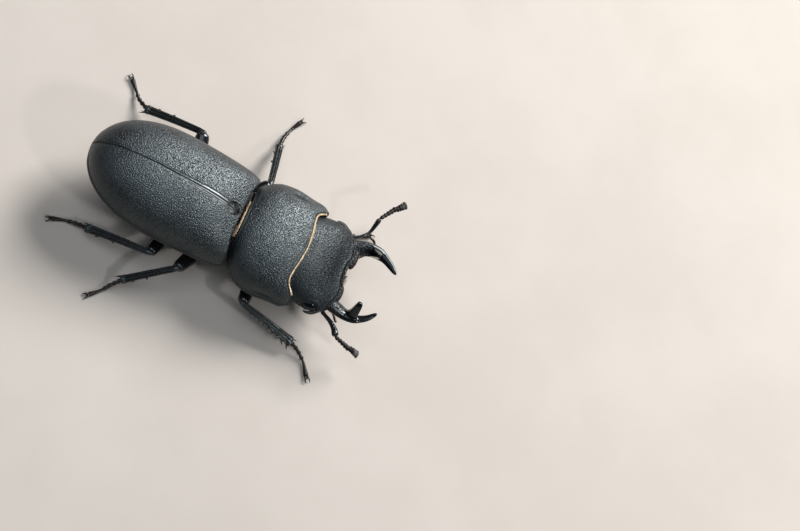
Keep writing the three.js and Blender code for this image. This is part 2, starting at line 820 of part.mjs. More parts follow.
for (const [word, side] of Object.entries(SIDES)) {
  const places = ANTENNAE[word];
  const beads = funicle(side, places).subtract(scape(side, places, GAP));
  show("eye_" + word, eye(side), EYE_GLOSS());
  show("mandible_" + word, mandible(side).subtract(scape(side, places, GAP)), GLOSS_BLACK());
  show("scape_" + word, scape(side, places), LIMB());
  show("funicle_" + word, beads, LIMB());
  show("club_" + word, club(side, places).subtract(funicle(side, places, GAP)), CLUB_GREY());
  show("palp_" + word, palp(side), CLAW_BROWN());
}

for (const name of legNames) {
  const leg = LEGS[name];
  const side = sideOf(name);
  const thigh = femur(leg, side).subtract(tibia(leg, name, side, GAP));
  show("coxa_" + name, coxa(leg, name, side).subtract(femur(leg, side, GAP)), LIMB());
  show("femur_" + name, thigh, LIMB());
  show("tibia_" + name, tibia(leg, name, side).subtract(tarsus(leg, GAP)), LIMB());
  show("tarsus_" + name, tarsus(leg), CLAW_BROWN());
}

// The origin is under the middle of the beetle, on the floor.
const bounds = new THREE.Box3().setFromObject(beetle);
const middle = bounds.getCenter(new THREE.Vector3());
beetle.position.set(-middle.x, -middle.y, 0);

export default beetle;
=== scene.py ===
"""A male lesser stag beetle as a still, life-size museum model on a plain pale floor.

Shapes are worked out in millimetres: x towards the beetle's left, y towards its tail, z up,
with y = 0 at the wing cases' tips and z = 0 on the floor. A station is -y: how far forward
of the tips a place is. The finished meshes are in metres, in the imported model's own frame.
"""
import logging
import math
from collections.abc import Callable, Sequence
from dataclasses import dataclass, field, replace
from enum import Enum

import bpy
import numpy as np
from mathutils import Matrix, Vector


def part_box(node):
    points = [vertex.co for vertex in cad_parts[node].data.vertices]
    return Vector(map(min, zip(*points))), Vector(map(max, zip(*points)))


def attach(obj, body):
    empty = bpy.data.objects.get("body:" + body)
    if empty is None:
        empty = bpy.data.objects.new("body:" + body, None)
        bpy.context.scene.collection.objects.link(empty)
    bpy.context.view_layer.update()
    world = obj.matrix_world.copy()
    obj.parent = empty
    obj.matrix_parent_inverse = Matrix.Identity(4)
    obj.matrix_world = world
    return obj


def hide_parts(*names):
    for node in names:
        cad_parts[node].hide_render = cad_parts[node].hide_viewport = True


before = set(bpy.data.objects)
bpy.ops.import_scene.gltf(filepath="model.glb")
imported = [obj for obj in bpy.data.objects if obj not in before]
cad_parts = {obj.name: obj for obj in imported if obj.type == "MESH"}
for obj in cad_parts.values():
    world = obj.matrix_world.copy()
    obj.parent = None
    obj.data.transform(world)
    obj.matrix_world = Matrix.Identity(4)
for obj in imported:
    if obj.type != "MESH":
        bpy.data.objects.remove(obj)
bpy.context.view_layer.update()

LOG = logging.getLogger("beetle")

Array = np.ndarray
Piece = bpy.types.Object
Socket = bpy.types.NodeSocket
Inputs = dict[str | int, object]
Place = Callable[[Array, Array], Array]
FaceTest = Callable[[Array, Array], Array]
Colour = tuple[float, float, float]
Point = tuple[float, float, float]
Stop = tuple[float, float, float]  # share of the length, half width, half depth

MM = 0.001
GAP = 0.05  # between the two wing cases and between the trunk's plates, mm
FIRST_RING = 0.03  # station of the wing cases' last solid ring, mm
MERGE_WITHIN = 0.002 * MM
ROUNDING_LEVELS = 2
EDGE_ROUNDS = 6  # steps that fit a row of places to a waved front edge
FLAT, SOFT_CREASE, HARD_CREASE, ROUND_CREASE = 0.0, 50.0, 70.0, 80.0  # degrees
ROOT_BODY = "root"
UP = np.array([0.0, 0.0, 1.0])


class Side(Enum):
    """The two sides of the animal, as the sign of x."""

    LEFT = 1
    RIGHT = -1

    @property
    def word(self) -> str:
        """The side's name as the nodes spell it."""
        return self.name.lower()


class Pair(Enum):
    """The three pairs of legs."""

    FRONT = "front"
    MIDDLE = "middle"
    HIND = "hind"


# ---- numbers and curves -----------------------------------------------------------------


def at(side: float, station: float, height: float) -> Array:
    """A place in millimetres from its side, station and height."""
    return np.array([side, -station, height], float)


def rows(*axes: Array) -> Array:
    """Puts x, y and z, or u and v, side by side, one place to a row."""
    return np.stack(axes, axis=1)


def unit(ways: Array) -> Array:
    """Directions of length one."""
    return ways / np.linalg.norm(ways, axis=-1, keepdims=True)


def smoothstep(value: Array, low: float, high: float) -> Array:
    """Rises smoothly from 0 at low to 1 at high."""
    t = np.clip((value - low) / (high - low), 0.0, 1.0)
    return t * t * (3 - 2 * t)


def hump(value: Array, middle: float, width: float) -> Array:
    """A smooth bump of height 1 about the middle, with the given half width."""
    return np.exp(-(((value - middle) / width) ** 2))


@dataclass(frozen=True)
class Ridge:
    """A smooth ridge along a line, or a groove where its height is negative."""

    middle: float
    half_width: float
    height: float = 1.0

    def __call__(self, distance: Array) -> Array:
        """Its height at each distance from the line."""
        return self.height * hump(distance, self.middle, self.half_width)


@dataclass(frozen=True)
class Bulge:
    """A smooth bulge round one place, or a dent where its height is negative."""

    side: float
    station: float
    half_side: float
    half_station: float
    height: float

    def __call__(self, side: Array, station: Array) -> Array:
        """Its height at each place."""
        across = hump(side, self.side, self.half_side)
        return self.height * across * hump(station, self.station, self.half_station)


def rounded_ends(v: Array, share: float) -> Array:
    """1 along a closed piece, falling roundly to 0 over a share of v at each end."""
    closing = np.minimum(np.minimum(v, 1 - v) / share, 1.0)
    return np.sqrt(np.clip(1 - (1 - closing) ** 2, 0.0, 1.0))


def through(knots: Array, values: Array, where: Array) -> Array:
    """A smooth curve through values at knots.

    Args:
        knots: Rising numbers.
        values: One number or one point for each knot.
        where: Numbers to read the curve at.

    Returns:
        The curve's values there.
    """
    slopes = np.gradient(values, knots, axis=0)
    spot = np.clip(where, knots[0], knots[-1])
    i = np.clip(np.searchsorted(knots, spot, side="right") - 1, 0, len(knots) - 2)
    step = knots[i + 1] - knots[i]
    t = (spot - knots[i]) / step
    if values.ndim > 1:
        t, step = t[:, None], step[:, None]
    start, end = values[i], values[i + 1]
    rise, fall = slopes[i] * step, slopes[i + 1] * step
    cubic = (2 * t**3 - 3 * t**2 + 1) * start + (t**3 - 2 * t**2 + t) * rise
    return cubic + (3 * t**2 - 2 * t**3) * end + (t**3 - t**2) * fall


@dataclass(frozen=True)
class Profile:
    """A size that changes smoothly along the body, from a few (station, value) pairs."""

    pairs: tuple[tuple[float, float], ...]

    def __call__(self, station: Array) -> Array:
        """The size at each station."""
        knots, values = np.array(self.pairs, float).T
        return through(knots, values, np.asarray(station, float))


@dataclass(frozen=True)
class Path:
    """A smooth line through a few places, read by its share of the length."""

    places: tuple[tuple[float, ...], ...]
    samples: int = 120

    @classmethod
    def of(cls, *places: Array) -> "Path":
        """A line through places in millimetres."""
        return cls(tuple(tuple(place) for place in places))

    @classmethod
    def along(cls, *spots: Sequence[float]) -> "Path":
        """A line through places given as (side, station, height)."""
        return cls.of(*(at(*spot) for spot in spots))

    def dense(self) -> Array:
        """Many places along the line."""
        places = np.array(self.places, float)
        chords = np.sqrt(np.linalg.norm(np.diff(places, axis=0), axis=1))
        knots = np.concatenate([[0.0], np.cumsum(chords)])
        return through(knots, places, np.linspace(0, knots[-1], self.samples))

    def length(self) -> float:
        """The line's length, mm."""
        return float(np.linalg.norm(np.diff(self.dense(), axis=0), axis=1).sum())

    def at(self, share: Array) -> tuple[Array, Array]:
        """Reads the line.

        Args:
            share: Shares of the whole length, 0 to 1.

        Returns:
            The places and the directions there.
        """
        dense = self.dense()
        walked = np.linalg.norm(np.diff(dense, axis=0), axis=1)
        along = np.concatenate([[0.0], np.cumsum(walked)]) / walked.sum()
        heading = unit(np.gradient(dense, axis=0))
        centre, forward = (
            rows(*(np.interp(share, along, axis) for axis in line.T)) for line in (dense, heading)
        )
        return centre, unit(forward)


def superellipse(angle: Array, power: Array) -> tuple[Array, Array]:
    """Points of a ring of half width 1: an ellipse at power 2, squarer above it."""
    c, s = np.cos(angle), np.sin(angle)
    return np.sign(c) * np.abs(c) ** (2 / power), np.sign(s) * np.abs(s) ** (2 / power)


def oval(angle: Array, wide: Array, up: Array, down: Array, power: Array) -> tuple[Array, Array]:
    """Points of an oval ring, `up` above its middle line and `down` below it.

    Args:
        angle: Angles from the outer side, in radians.
        wide: Half widths.
        up: Heights above the middle line.
        down: Depths below it.
        power: 2 for an ellipse, more for a squarer ring.

    Returns:
        The sideways and the upward distances.
    """
    side, height = superellipse(angle, power)
    return wide * side, np.where(height > 0, up, down) * height


def raised(base: Place, relief: Callable[[Array, Array, Array], Array], heart: Point) -> Place:
    """A surface raised or sunk along its own outward direction.

    Args:
        base: The plain surface.
        relief: Gives the height in millimetres from u, v and the places.
        heart: A point inside, whose y hardly counts.

    Returns:
        The surface with its relief.
    """
    nudge = 1e-3
    shortest = 1e-9
    lengthwise_weight = 0.15

    def place(u: Array, v: Array) -> Array:
        """The base's places, moved by the relief."""
        points = base(u, v)
        along_u = base(np.minimum(u + nudge, 1), v) - base(np.maximum(u - nudge, 0), v)
        along_v = base(u, np.minimum(v + nudge, 1)) - base(u, np.maximum(v - nudge, 0))
        normal = np.cross(along_u, along_v)
        length = np.linalg.norm(normal, axis=1, keepdims=True)
        normal = normal / np.where(length < shortest, 1.0, length)
        outward = points - np.array(heart)
        outward[:, 1] *= lengthwise_weight
        normal *= np.where(np.sum(normal * outward, axis=1, keepdims=True) < 0, -1.0, 1.0)
        height = np.where(length[:, 0] < shortest, 0.0, relief(u, v, points))
        return points + normal * height[:, None]

    return place


# ---- the workbench: how pieces are made from primitives ------------------------------------


@dataclass(frozen=True)
class BodyFrame:
    """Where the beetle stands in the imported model, read from its own solids."""

    middle_x: float
    tail_y: float

    @classmethod
    def from_solids(cls) -> "BodyFrame":
        """Finds the seam between the wing cases and their tips."""
        left_low, left_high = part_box("elytron_left")
        _, right_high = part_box("elytron_right")
        tail_y = max(left_high[1], right_high[1]) + FIRST_RING * MM
        return cls((left_low[0] + right_high[0]) / 2, tail_y)

    def settle(self, points: Array) -> Array:
        """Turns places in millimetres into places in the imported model's frame, in metres."""
        return points * MM + np.array([self.middle_x, self.tail_y, 0.0])


BODY = BodyFrame.from_solids()


def object_mode() -> None:
    """Goes back to object mode."""
    bpy.ops.object.mode_set(mode="OBJECT")


def edit_mode() -> None:
    """Opens the active piece in edit mode."""
    bpy.ops.object.mode_set(mode="EDIT")


def deselect_all() -> None:
    """Leaves edit mode and deselects everything."""
    active = bpy.context.view_layer.objects.active
    if active and active.mode != "OBJECT":
        object_mode()
    bpy.ops.object.select_all(action="DESELECT")


def pick(piece: Piece) -> None:
    """Selects one piece alone and makes it active."""
    deselect_all()
    piece.select_set(True)
    bpy.context.view_layer.objects.active = piece


def edit_all(piece: Piece) -> None:
    """Opens a piece in edit mode with everything selected."""
    pick(piece)
    edit_mode()
    bpy.ops.mesh.select_all(action="SELECT")


def apply_transform() -> None:
    """Moves the active piece's place, turn and size into its mesh."""
    bpy.ops.object.transform_apply(location=True, rotation=True, scale=True)


def name_active(name: str) -> Piece:
    """Names the active piece and its mesh, and gives it back."""
    piece = bpy.context.active_object
    piece.name = piece.data.name = name
    return piece


def read_vectors(items: bpy.types.bpy_prop_collection, what: str) -> Array:
    """Reads one vector from each corner or face of a mesh, one to a row."""
    numbers = np.empty(3 * len(items))
    items.foreach_get(what, numbers)
    return numbers.reshape(-1, 3)


def store_mark(mesh: bpy.types.Mesh, name: str, values: Array) -> None:
    """Stores one number at each corner of a mesh, as an attribute."""
    attribute = mesh.attributes.new(name, "FLOAT", "POINT")
    attribute.data.foreach_set("value", values.astype(np.float32))


def lay_grid(
    name: str, counts: tuple[int, int], place: Place, marks: dict[str, Place] | None = None
) -> Piece:
    """Lays a grid primitive over a surface.

    Args:
        name: The piece's name.
        counts: Faces across and along.
        place: Gives the place of each corner from its u and v on the grid.
        marks: Numbers to store at the corners, by the attribute's name.

    Returns:
        The new piece.
    """
    deselect_all()
    across, along = counts
    bpy.ops.mesh.primitive_grid_add(x_subdivisions=across, y_subdivisions=along, size=1)
    piece = name_active(name)
    mesh = piece.data
    u, v = np.clip(read_vectors(mesh.vertices, "co")[:, :2].T + 0.5, 0.0, 1.0)
    mesh.vertices.foreach_set("co", BODY.settle(place(u, v)).ravel())
    for mark, value in (marks or {}).items():
        store_mark(mesh, mark, value(u, v))
    mesh.update()
    return piece


def close_up(piece: Piece) -> Piece:
    """Merges a skin's meeting edges and poles and turns its faces outwards."""
    edit_all(piece)
    bpy.ops.mesh.remove_doubles(threshold=MERGE_WITHIN)
    bpy.ops.mesh.dissolve_degenerate(threshold=0.1 * MERGE_WITHIN)
    bpy.ops.mesh.select_all(action="SELECT")
    bpy.ops.mesh.normals_make_consistent(inside=False)
    object_mode()
    return piece


def face_up(piece: Piece) -> Piece:
    """Turns an open plate's faces over if they look down on the whole."""
    areas = np.array([face.area * face.normal.z for face in piece.data.polygons])
    if areas.sum() < 0:
        edit_all(piece)
        bpy.ops.mesh.flip_normals()
        object_mode()
    return piece


def modify(piece: Piece, kind: str, **settings: object) -> Piece:
    """Adds one modifier with its settings and applies it."""
    pick(piece)
    modifier = piece.modifiers.new(kind.title(), kind)
    for setting, value in settings.items():
        setattr(modifier, setting, value)
    bpy.ops.object.modifier_apply(modifier=modifier.name)
    return piece


def subdivide(piece: Piece) -> Piece:
    """Rounds a coarse cage with an applied subdivision surface."""
    return modify(piece, "SUBSURF", levels=ROUNDING_LEVELS, render_levels=ROUNDING_LEVELS)


def plate(
    name: str, counts: tuple[int, int], place: Place, marks: dict[str, Place], wall: float
) -> Piece:
    """An open plate with a wall's thickness below its outer surface.

    Args:
        name: The piece's name.
        counts: Faces across and along.
        place: Its outer surface.
        marks: Numbers to store at the corners, by the attribute's name.
        wall: The wall's thickness, mm.

    Returns:
        The new piece.
    """
    sheet = face_up(close_up(lay_grid(name, counts, place, marks)))
    return modify(sheet, "SOLIDIFY", thickness=wall * MM, offset=-1.0)


def joined(name: str, pieces: Sequence[Piece]) -> Piece:
    """Joins pieces into the first of them, under a new name."""
    pick(pieces[0])
    for piece in pieces[1:]:
        piece.select_set(True)
    if len(pieces) > 1:
        bpy.ops.object.join()
    return name_active(name)


def draw_rod(name: str, length: float, stops: Sequence[Stop], sides: int) -> Piece:
    """Draws a straight rod out along x from a ring primitive, on the bench, in millimetres.

    Args:
        name: The piece's name.
        length: Its length, mm.
        stops: Share of the length, half width and half depth of each ring.
        sides: Faces round it, one of them facing sideways.

    Returns:
        The rod as a closed coarse cage.
    """
    deselect_all()
    stand = Matrix.Rotation(math.pi / 2, 4, "Y") @ Matrix.Rotation(math.pi / sides, 4, "Z")
    turn = stand.to_euler()
    bpy.ops.mesh.primitive_circle_add(vertices=sides, radius=1, fill_type="NGON", rotation=turn)
    apply_transform()
    piece = name_active(name)
    edit_mode()
    share, wide, deep = stops[0]
    bpy.ops.transform.translate(value=(share * length, 0, 0))
    bpy.ops.transform.resize(value=(1, wide, deep), center_override=(share * length, 0, 0))
    for next_share, next_wide, next_deep in stops[1:]:
        step = (next_share - share) * length
        growth = (1, next_wide / wide, next_deep / deep)
        bpy.ops.mesh.extrude_region_move(TRANSFORM_OT_translate={"value": (step, 0, 0)})
        bpy.ops.transform.resize(value=growth, center_override=(next_share * length, 0, 0))
        share, wide, deep = next_share, next_wide, next_deep
    bpy.ops.mesh.select_all(action="SELECT")
    bpy.ops.mesh.normals_make_consistent(inside=False)
    object_mode()
    return piece


def bend(piece: Piece, path: Path, tilt: float = 0.0) -> Piece:
    """Bends a straight rod along a line, keeping its depth upright but for a tilt.

    Args:
        piece: The rod.
        path: The line, as long as the rod.
        tilt: How far the rod is turned about itself, in radians.

    Returns:
        The same piece.
    """
    curve = bpy.data.curves.new("bench_line", "CURVE")
    curve.dimensions = "3D"
    curve.twist_mode = "Z_UP"
    dense = path.dense()
    spline = curve.splines.new("POLY")
    spline.points.add(len(dense) - 1)
    spline.points.foreach_set("co", np.c_[dense, np.ones(len(dense))].ravel())
    spline.points.foreach_set("tilt", np.full(len(dense), tilt))
    line = bpy.data.objects.new("bench_line", curve)
    bpy.context.scene.collection.objects.link(line)
    bpy.context.view_layer.update()
    modify(piece, "CURVE", object=line, deform_axis="POS_X")
    bpy.data.objects.remove(line)
    bpy.data.curves.remove(curve)
    return piece


def select_faces(piece: Piece, wanted: FaceTest) -> int:
    """Selects the faces that pass a test, and nothing else.

    Args:
        piece: The piece.
        wanted: Gives a truth for each face from the centres and normals.

    Returns:
        How many faces are selected.
    """
    edit_all(piece)
    bpy.ops.mesh.select_mode(type="FACE")
    bpy.ops.mesh.select_all(action="DESELECT")
    object_mode()
    faces = piece.data.polygons
    chosen = wanted(read_vectors(faces, "center"), read_vectors(faces, "normal"))
    faces.foreach_set("select", chosen)
    return int(np.sum(chosen))


def facing_up(centres: Array, normals: Array) -> Array:
    """A test for the faces that look straight up."""
    return normals[:, 2] > 0.9


def nearest_face(spot: Array) -> FaceTest:
    """A test for the face whose centre is nearest to a place."""

    def wanted(centres: Array, normals: Array) -> Array:
        """True for the nearest face alone."""
        chosen = np.zeros(len(centres), bool)
        chosen[np.argmin(np.linalg.norm(centres - spot, axis=1))] = True
        return chosen

    return wanted


def rod_columns(
    length: float, stops: Sequence[Stop], angles: Sequence[float], low: float, high: float
) -> FaceTest:
    """A test for a straight rod's faces in some of its columns.

    Args:
        length: The rod's length, mm.
        stops: Its rings.
        angles: The columns' angles round it, in degrees from the side.
        low: Share of the length where the faces start.
        high: Share of the length where they end.

    Returns:
        A test for select_faces.
    """
    shares, wides, deeps = np.array(stops, float).T
    nearness = 5.0  # degrees

    def wanted(centres: Array, normals: Array) -> Array:
        """True for the faces in the columns, between low and high."""
        share = centres[:, 0] / length
        rise = centres[:, 2] / np.interp(share, shares, deeps)
        turn = np.degrees(np.arctan2(rise, centres[:, 1] / np.interp(share, shares, wides)))
        off = np.abs((turn[:, None] - np.array(angles, float) + 180) % 360 - 180)
        return (off.min(axis=1) < nearness) & (share > low) & (share < high)

    return wanted


def grow_selected(piece: Piece, stops: Sequence[tuple[Array, float]]) -> None:
    """Pulls a horn out of the selected faces, resizing it at each stop.

    Args:
        piece: The cage.
        stops: The middle of each next ring, and its size as a share of the one before.
    """
    here = np.array([face.center[:] for face in piece.data.polygons if face.select]).mean(axis=0)
    edit_mode()
    for spot, size in stops:
        bpy.ops.mesh.extrude_region_move(TRANSFORM_OT_translate={"value": tuple(spot - here)})
        bpy.ops.transform.resize(value=(size, size, size), center_override=tuple(spot))
        here = spot
    object_mode()


def sink_grooves(piece: Piece, wanted: FaceTest, wide: float, deep: float) -> None:
    """Insets the chosen runs of faces and sinks them, leaving ridges between.

    Args:
        piece: The cage.
        wanted: The test that chooses the faces.
        wide: How far in from the run's border the groove starts, mm.
        deep: How deep it is, mm.
    """
    if select_faces(piece, wanted):
        edit_mode()
        bpy.ops.mesh.inset(thickness=wide, depth=-deep)
        object_mode()


def settle_piece(piece: Piece) -> Piece:
    """Moves a piece from the bench to its place on the beetle, in metres."""
    pick(piece)
    piece.scale = (MM, MM, MM)
    piece.location = (BODY.middle_x, BODY.tail_y, 0.0)
    apply_transform()
    return piece


def limb(name: str, path: Path, stops: Sequence[Stop], sides: int) -> Piece:
    """A rounded limb along a line.

    Args:
        name: The piece's name.
        path: Its middle line.
        stops: Share of the length, half width and half depth of each ring.
        sides: Faces round the cage.

    Returns:
        The finished piece, in its place.
    """
    return settle_piece(subdivide(bend(draw_rod(name, path.length(), stops, sides), path)))


def mark(piece: Piece, name: str, value: Callable[[Array], Array]) -> Piece:
    """Stores a number at each corner of a settled piece, from its place in millimetres."""
    places = (read_vectors(piece.data.vertices, "co") - BODY.settle(np.zeros(3))) / MM
    store_mark(piece.data, name, value(places))
    return piece


@dataclass(frozen=True)
class Dresser:
    """Dresses finished pieces, hides the solids they replace, and logs them."""

    materials: dict[str, bpy.types.Material]

    def deliver(
        self, piece: Piece, look: str, *nodes: str, slot: str = "", crease: float = HARD_CREASE
    ) -> None:
        """Shades, dresses and reports one finished piece.

        Args:
            piece: The finished piece.
            look: Its finish's name in FINISHES.
            nodes: The solids it replaces, if any.
            slot: The material slot named in the log, if not the finish's own.
            crease: Edges sharper than so many degrees stay sharp; FLAT leaves every face flat.
        """
        if crease:
            pick(piece)
            bpy.ops.object.shade_smooth_by_angle(angle=math.radians(crease))
        piece.data.materials.clear()
        piece.data.materials.append(self.materials[look])
        slot = slot or FINISHES[look].slot
        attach(piece, ROOT_BODY)
        if nodes:
            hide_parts(*nodes)
        LOG.info("%-22s %6d faces, %s", piece.name, len(piece.data.polygons), slot)


# ---- shader node groups ----------------------------------------------------------------------


class Weave:
    """Builds one node tree, placing nodes by name and wiring them as it goes."""

    def __init__(self, tree: bpy.types.NodeTree) -> None:
        """Remembers the tree."""
        self.tree = tree

    def node(self, kind: str, inputs: Inputs | None = None, **settings: object) -> bpy.types.Node:
        """Adds a node.

        Args:
            kind: Its type, without the leading ShaderNode.
            inputs: A value or an output for each input, by name or number.
            settings: Its own settings.

        Returns:
            The node.
        """
        made = self.tree.nodes.new(kind if kind.startswith("NodeGroup") else "ShaderNode" + kind)
        for setting, value in settings.items():
            setattr(made, setting, value)
        self.feed(made, inputs or {})
        return made

    def feed(self, node: bpy.types.Node, inputs: Inputs) -> None:
        """Wires outputs to a node's inputs, or sets the inputs' own values."""
        for key, value in inputs.items():
            if isinstance(value, Socket):
                self.tree.links.new(value, node.inputs[key])
            else:
                node.inputs[key].default_value = value

    def math(self, operation: str, *values: object) -> Socket:
        """A sum or other operation on numbers, giving its output."""
        return self.node("Math", dict(enumerate(values)), operation=operation).outputs[0]

    def blend(self, factor: object, *pair: Socket | Colour) -> Socket:
        """A mix of two colours, giving its output."""
        first, second = (colour if isinstance(colour, Socket) else (*colour, 1.0) for colour in pair)
        return self.node("Mix", {"Factor": factor, 6: first, 7: second}, data_type="RGBA").outputs[2]

    def rise(self, value: object, low: object, high: object) -> Socket:
        """Rises smoothly from 0 where the value is low to 1 where it is high."""
        inputs = {"Value": value, "From Min": low, "From Max": high}
        return self.node("MapRange", inputs, interpolation_type="SMOOTHSTEP").outputs["Result"]

    def object_space(self) -> Socket:
        """The place on the piece itself, in metres."""
        return self.node("TexCoord").outputs["Object"]

    def mottle(self, vector: Socket, size: float) -> Socket:
        """The mask of soft patches, of a size in metres."""
        return self.node("Group", {"Vector": vector, "Size": size}, node_tree=MOTTLE).outputs["Mask"]

    def attribute(self, name: str) -> Socket:
        """The number stored at the corners under a name."""
        return self.node("Attribute", attribute_name=name).outputs["Fac"]


def new_group(name: str, numbers: dict[str, float], outputs: Sequence[str]) -> tuple:
    """Starts a shader node group that takes a vector and some numbers and gives numbers.

    Args:
        name: The group's name.
        numbers: The default of each number it takes.
        outputs: The name of each number it gives.

    Returns:
        The group's weave, its inputs' sockets and its output node.
    """
    tree = bpy.data.node_groups.new(name, "ShaderNodeTree")
    tree.interface.new_socket("Vector", in_out="INPUT", socket_type="NodeSocketVector")
    for label, default in numbers.items():
        socket = tree.interface.new_socket(label, in_out="INPUT", socket_type="NodeSocketFloat")
        socket.default_value = default
    for label in outputs:
        tree.interface.new_socket(label, in_out="OUTPUT", socket_type="NodeSocketFloat")
    weave = Weave(tree)
    return weave, weave.node("NodeGroupInput").outputs, weave.node("NodeGroupOutput")


def pits_group() -> bpy.types.NodeTree:
    """Round pits of one spacing, scattered over the shell, with a rough grain between them."""
    numbers = {"Spacing": 0.00015, "Width": 0.4, "Grain": 0.2}
    weave, given, leave = new_group("shell_pits", numbers, ("Height", "Pit"))
    place = given["Vector"]
    scale = weave.math("DIVIDE", 1.0, given["Spacing"])
    cells = weave.node("TexVoronoi", {"Vector": place, "Scale": scale, "Randomness": 0.9})
    inside = weave.rise(cells.outputs["Distance"], 0.05, given["Width"])
    finer = weave.math("MULTIPLY", scale, 1.1)
    noise = {"Vector": place, "Scale": finer, "Detail": 2.0, "Roughness": 0.6}
    grain = weave.math("MULTIPLY", weave.node("TexNoise", noise).outputs["Fac"], given["Grain"])
    height = weave.math("ADD", inside, grain)
    weave.feed(leave, {"Height": height, "Pit": weave.math("SUBTRACT", 1.0, inside)})
    return weave.tree


def mottle_group() -> bpy.types.NodeTree:
    """Soft patches of two sizes, between 0 and 1."""
    weave, given, leave = new_group("soft_mottle", {"Size": 0.003}, ("Mask",))
    scale = weave.math("DIVIDE", 1.0, given["Size"])
    noise = {"Vector": given["Vector"], "Scale": scale, "Detail": 5.0, "Roughness": 0.6}
    weave.feed(leave, {"Mask": weave.rise(weave.node("TexNoise", noise).outputs["Fac"], 0.35, 0.65)})
    return weave.tree


PITS = pits_group()
MOTTLE = mottle_group()


def begin_material(name: str) -> tuple[bpy.types.Material, Weave, bpy.types.Node]:
    """Starts a material that holds only its Principled shader."""
    material = bpy.data.materials.new(name)
    material.use_nodes = True
    return material, Weave(material.node_tree), material.node_tree.nodes["Principled BSDF"]


@dataclass(frozen=True)
class Chitin:
    """A finish of the hard outer skin: two near blacks, pits, grain and gloss.

    Where a piece carries the corner mark "edge" it is smooth and takes the edge colour, which on
    the shell is paler: a painted highlight on its beads and rims. Where it carries the shade mark it
    is painted black and dull as shade, and the pits are painted darker as shade. Sizes are in millimetres.
    """

    name: str
    deep: Colour
    light: Colour
    slot: str = "shell"
    roughness: float = 0.4
    roughness_swing: float = 0.1
    pit_roughness: float = 0.1
    pit_shade: float = 0.6
    pit_spacing: float = 0.15
    pit_width: float = 0.5
    pit_depth: float = 0.02
    grain: float = 0.3
    bump: float = 0.8
    coat: float = 0.0
    coat_roughness: float = 0.15
    reflectance: float = 0.5
    tint: Colour = (1.0, 1.0, 1.0)
    # On the shell the edge colour is a paler painted highlight; on the jaws it is their own polished black.
    edge: Colour = (0.05, 0.05, 0.05)
    edge_gloss: float = 0.08
    # Black painted as shade in seams, channels, sockets and other hollows.
    painted_shade: Colour = (0.002, 0.002, 0.002)
    groove_dullness: float = 0.5
    stretch: float = 1.0
    patch: float = 2.2

    def build(self) -> bpy.types.Material:
        """Makes the material."""
        material, weave, shader = begin_material(self.name)
        place = weave.object_space()
        drawn_out = weave.node("Mapping", {"Vector": place, "Scale": (1.0, 1.0 / self.stretch, 1.0)})
        pit_inputs = {
            "Vector": drawn_out.outputs["Vector"],
            "Spacing": self.pit_spacing * MM,
            "Width": self.pit_width,
            "Grain": self.grain,
        }
        pits = weave.node("Group", pit_inputs, node_tree=PITS).outputs
        mottle = weave.mottle(place, self.patch * MM)
        edge, painted_shade = weave.attribute("edge"), weave.attribute("painted_shade")
        pitted = weave.math("SUBTRACT", 1.0, edge)
        pit = weave.math("MULTIPLY", pits["Pit"], pitted)
        height = weave.math("MULTIPLY", pits["Height"], pitted)
        # Painted highlight where the shell's edge colour is paler; painted shade in the pits and under the
        # shade mark.
        ground = weave.blend(edge, weave.blend(mottle, self.deep, self.light), self.edge)
        shade = weave.math("MAXIMUM", weave.math("MULTIPLY", pit, self.pit_shade), painted_shade)
        dull = weave.math("MULTIPLY_ADD", mottle, self.roughness_swing, self.roughness)
        dull = weave.math("MULTIPLY_ADD", pit, self.pit_roughness, dull)
        dull = weave.math("MULTIPLY_ADD", edge, -self.edge_gloss, dull)
        bumps = {"Strength": self.bump, "Distance": self.pit_depth * MM, "Height": height}
        inputs = {
            "Base Color": weave.blend(shade, ground, self.painted_shade),
            "Roughness": weave.math("MULTIPLY_ADD", painted_shade, self.groove_dullness, dull),
            "Normal": weave.node("Bump", bumps).outputs["Normal"],
            "Specular IOR Level": self.reflectance,
            "Specular Tint": (*self.tint, 1.0),
            "Coat Weight": self.coat,
            "Coat Roughness": self.coat_roughness,
        }
        weave.feed(shader, inputs)
        return material


@dataclass(frozen=True)
class Hair:
    """A finish of bristles: a colour that pales in patches, with a soft sheen."""

    name: str
    dark: Colour
    pale: Colour
    slot: str = "bristle"
    roughness: float = 0.45
    sheen: float = 0.4
    sheen_roughness: float = 0.4
    patch: float = 0.2  # mm

    def build(self) -> bpy.types.Material:
        """Makes the material."""
        material, weave, shader = begin_material(self.name)
        mottle = weave.mottle(weave.object_space(), self.patch * MM)
        inputs = {
            "Base Color": weave.blend(mottle, self.dark, self.pale),
            "Roughness": self.roughness,
            "Sheen Weight": self.sheen,
            "Sheen Roughness": self.sheen_roughness,
        }
        weave.feed(shader, inputs)
        return material
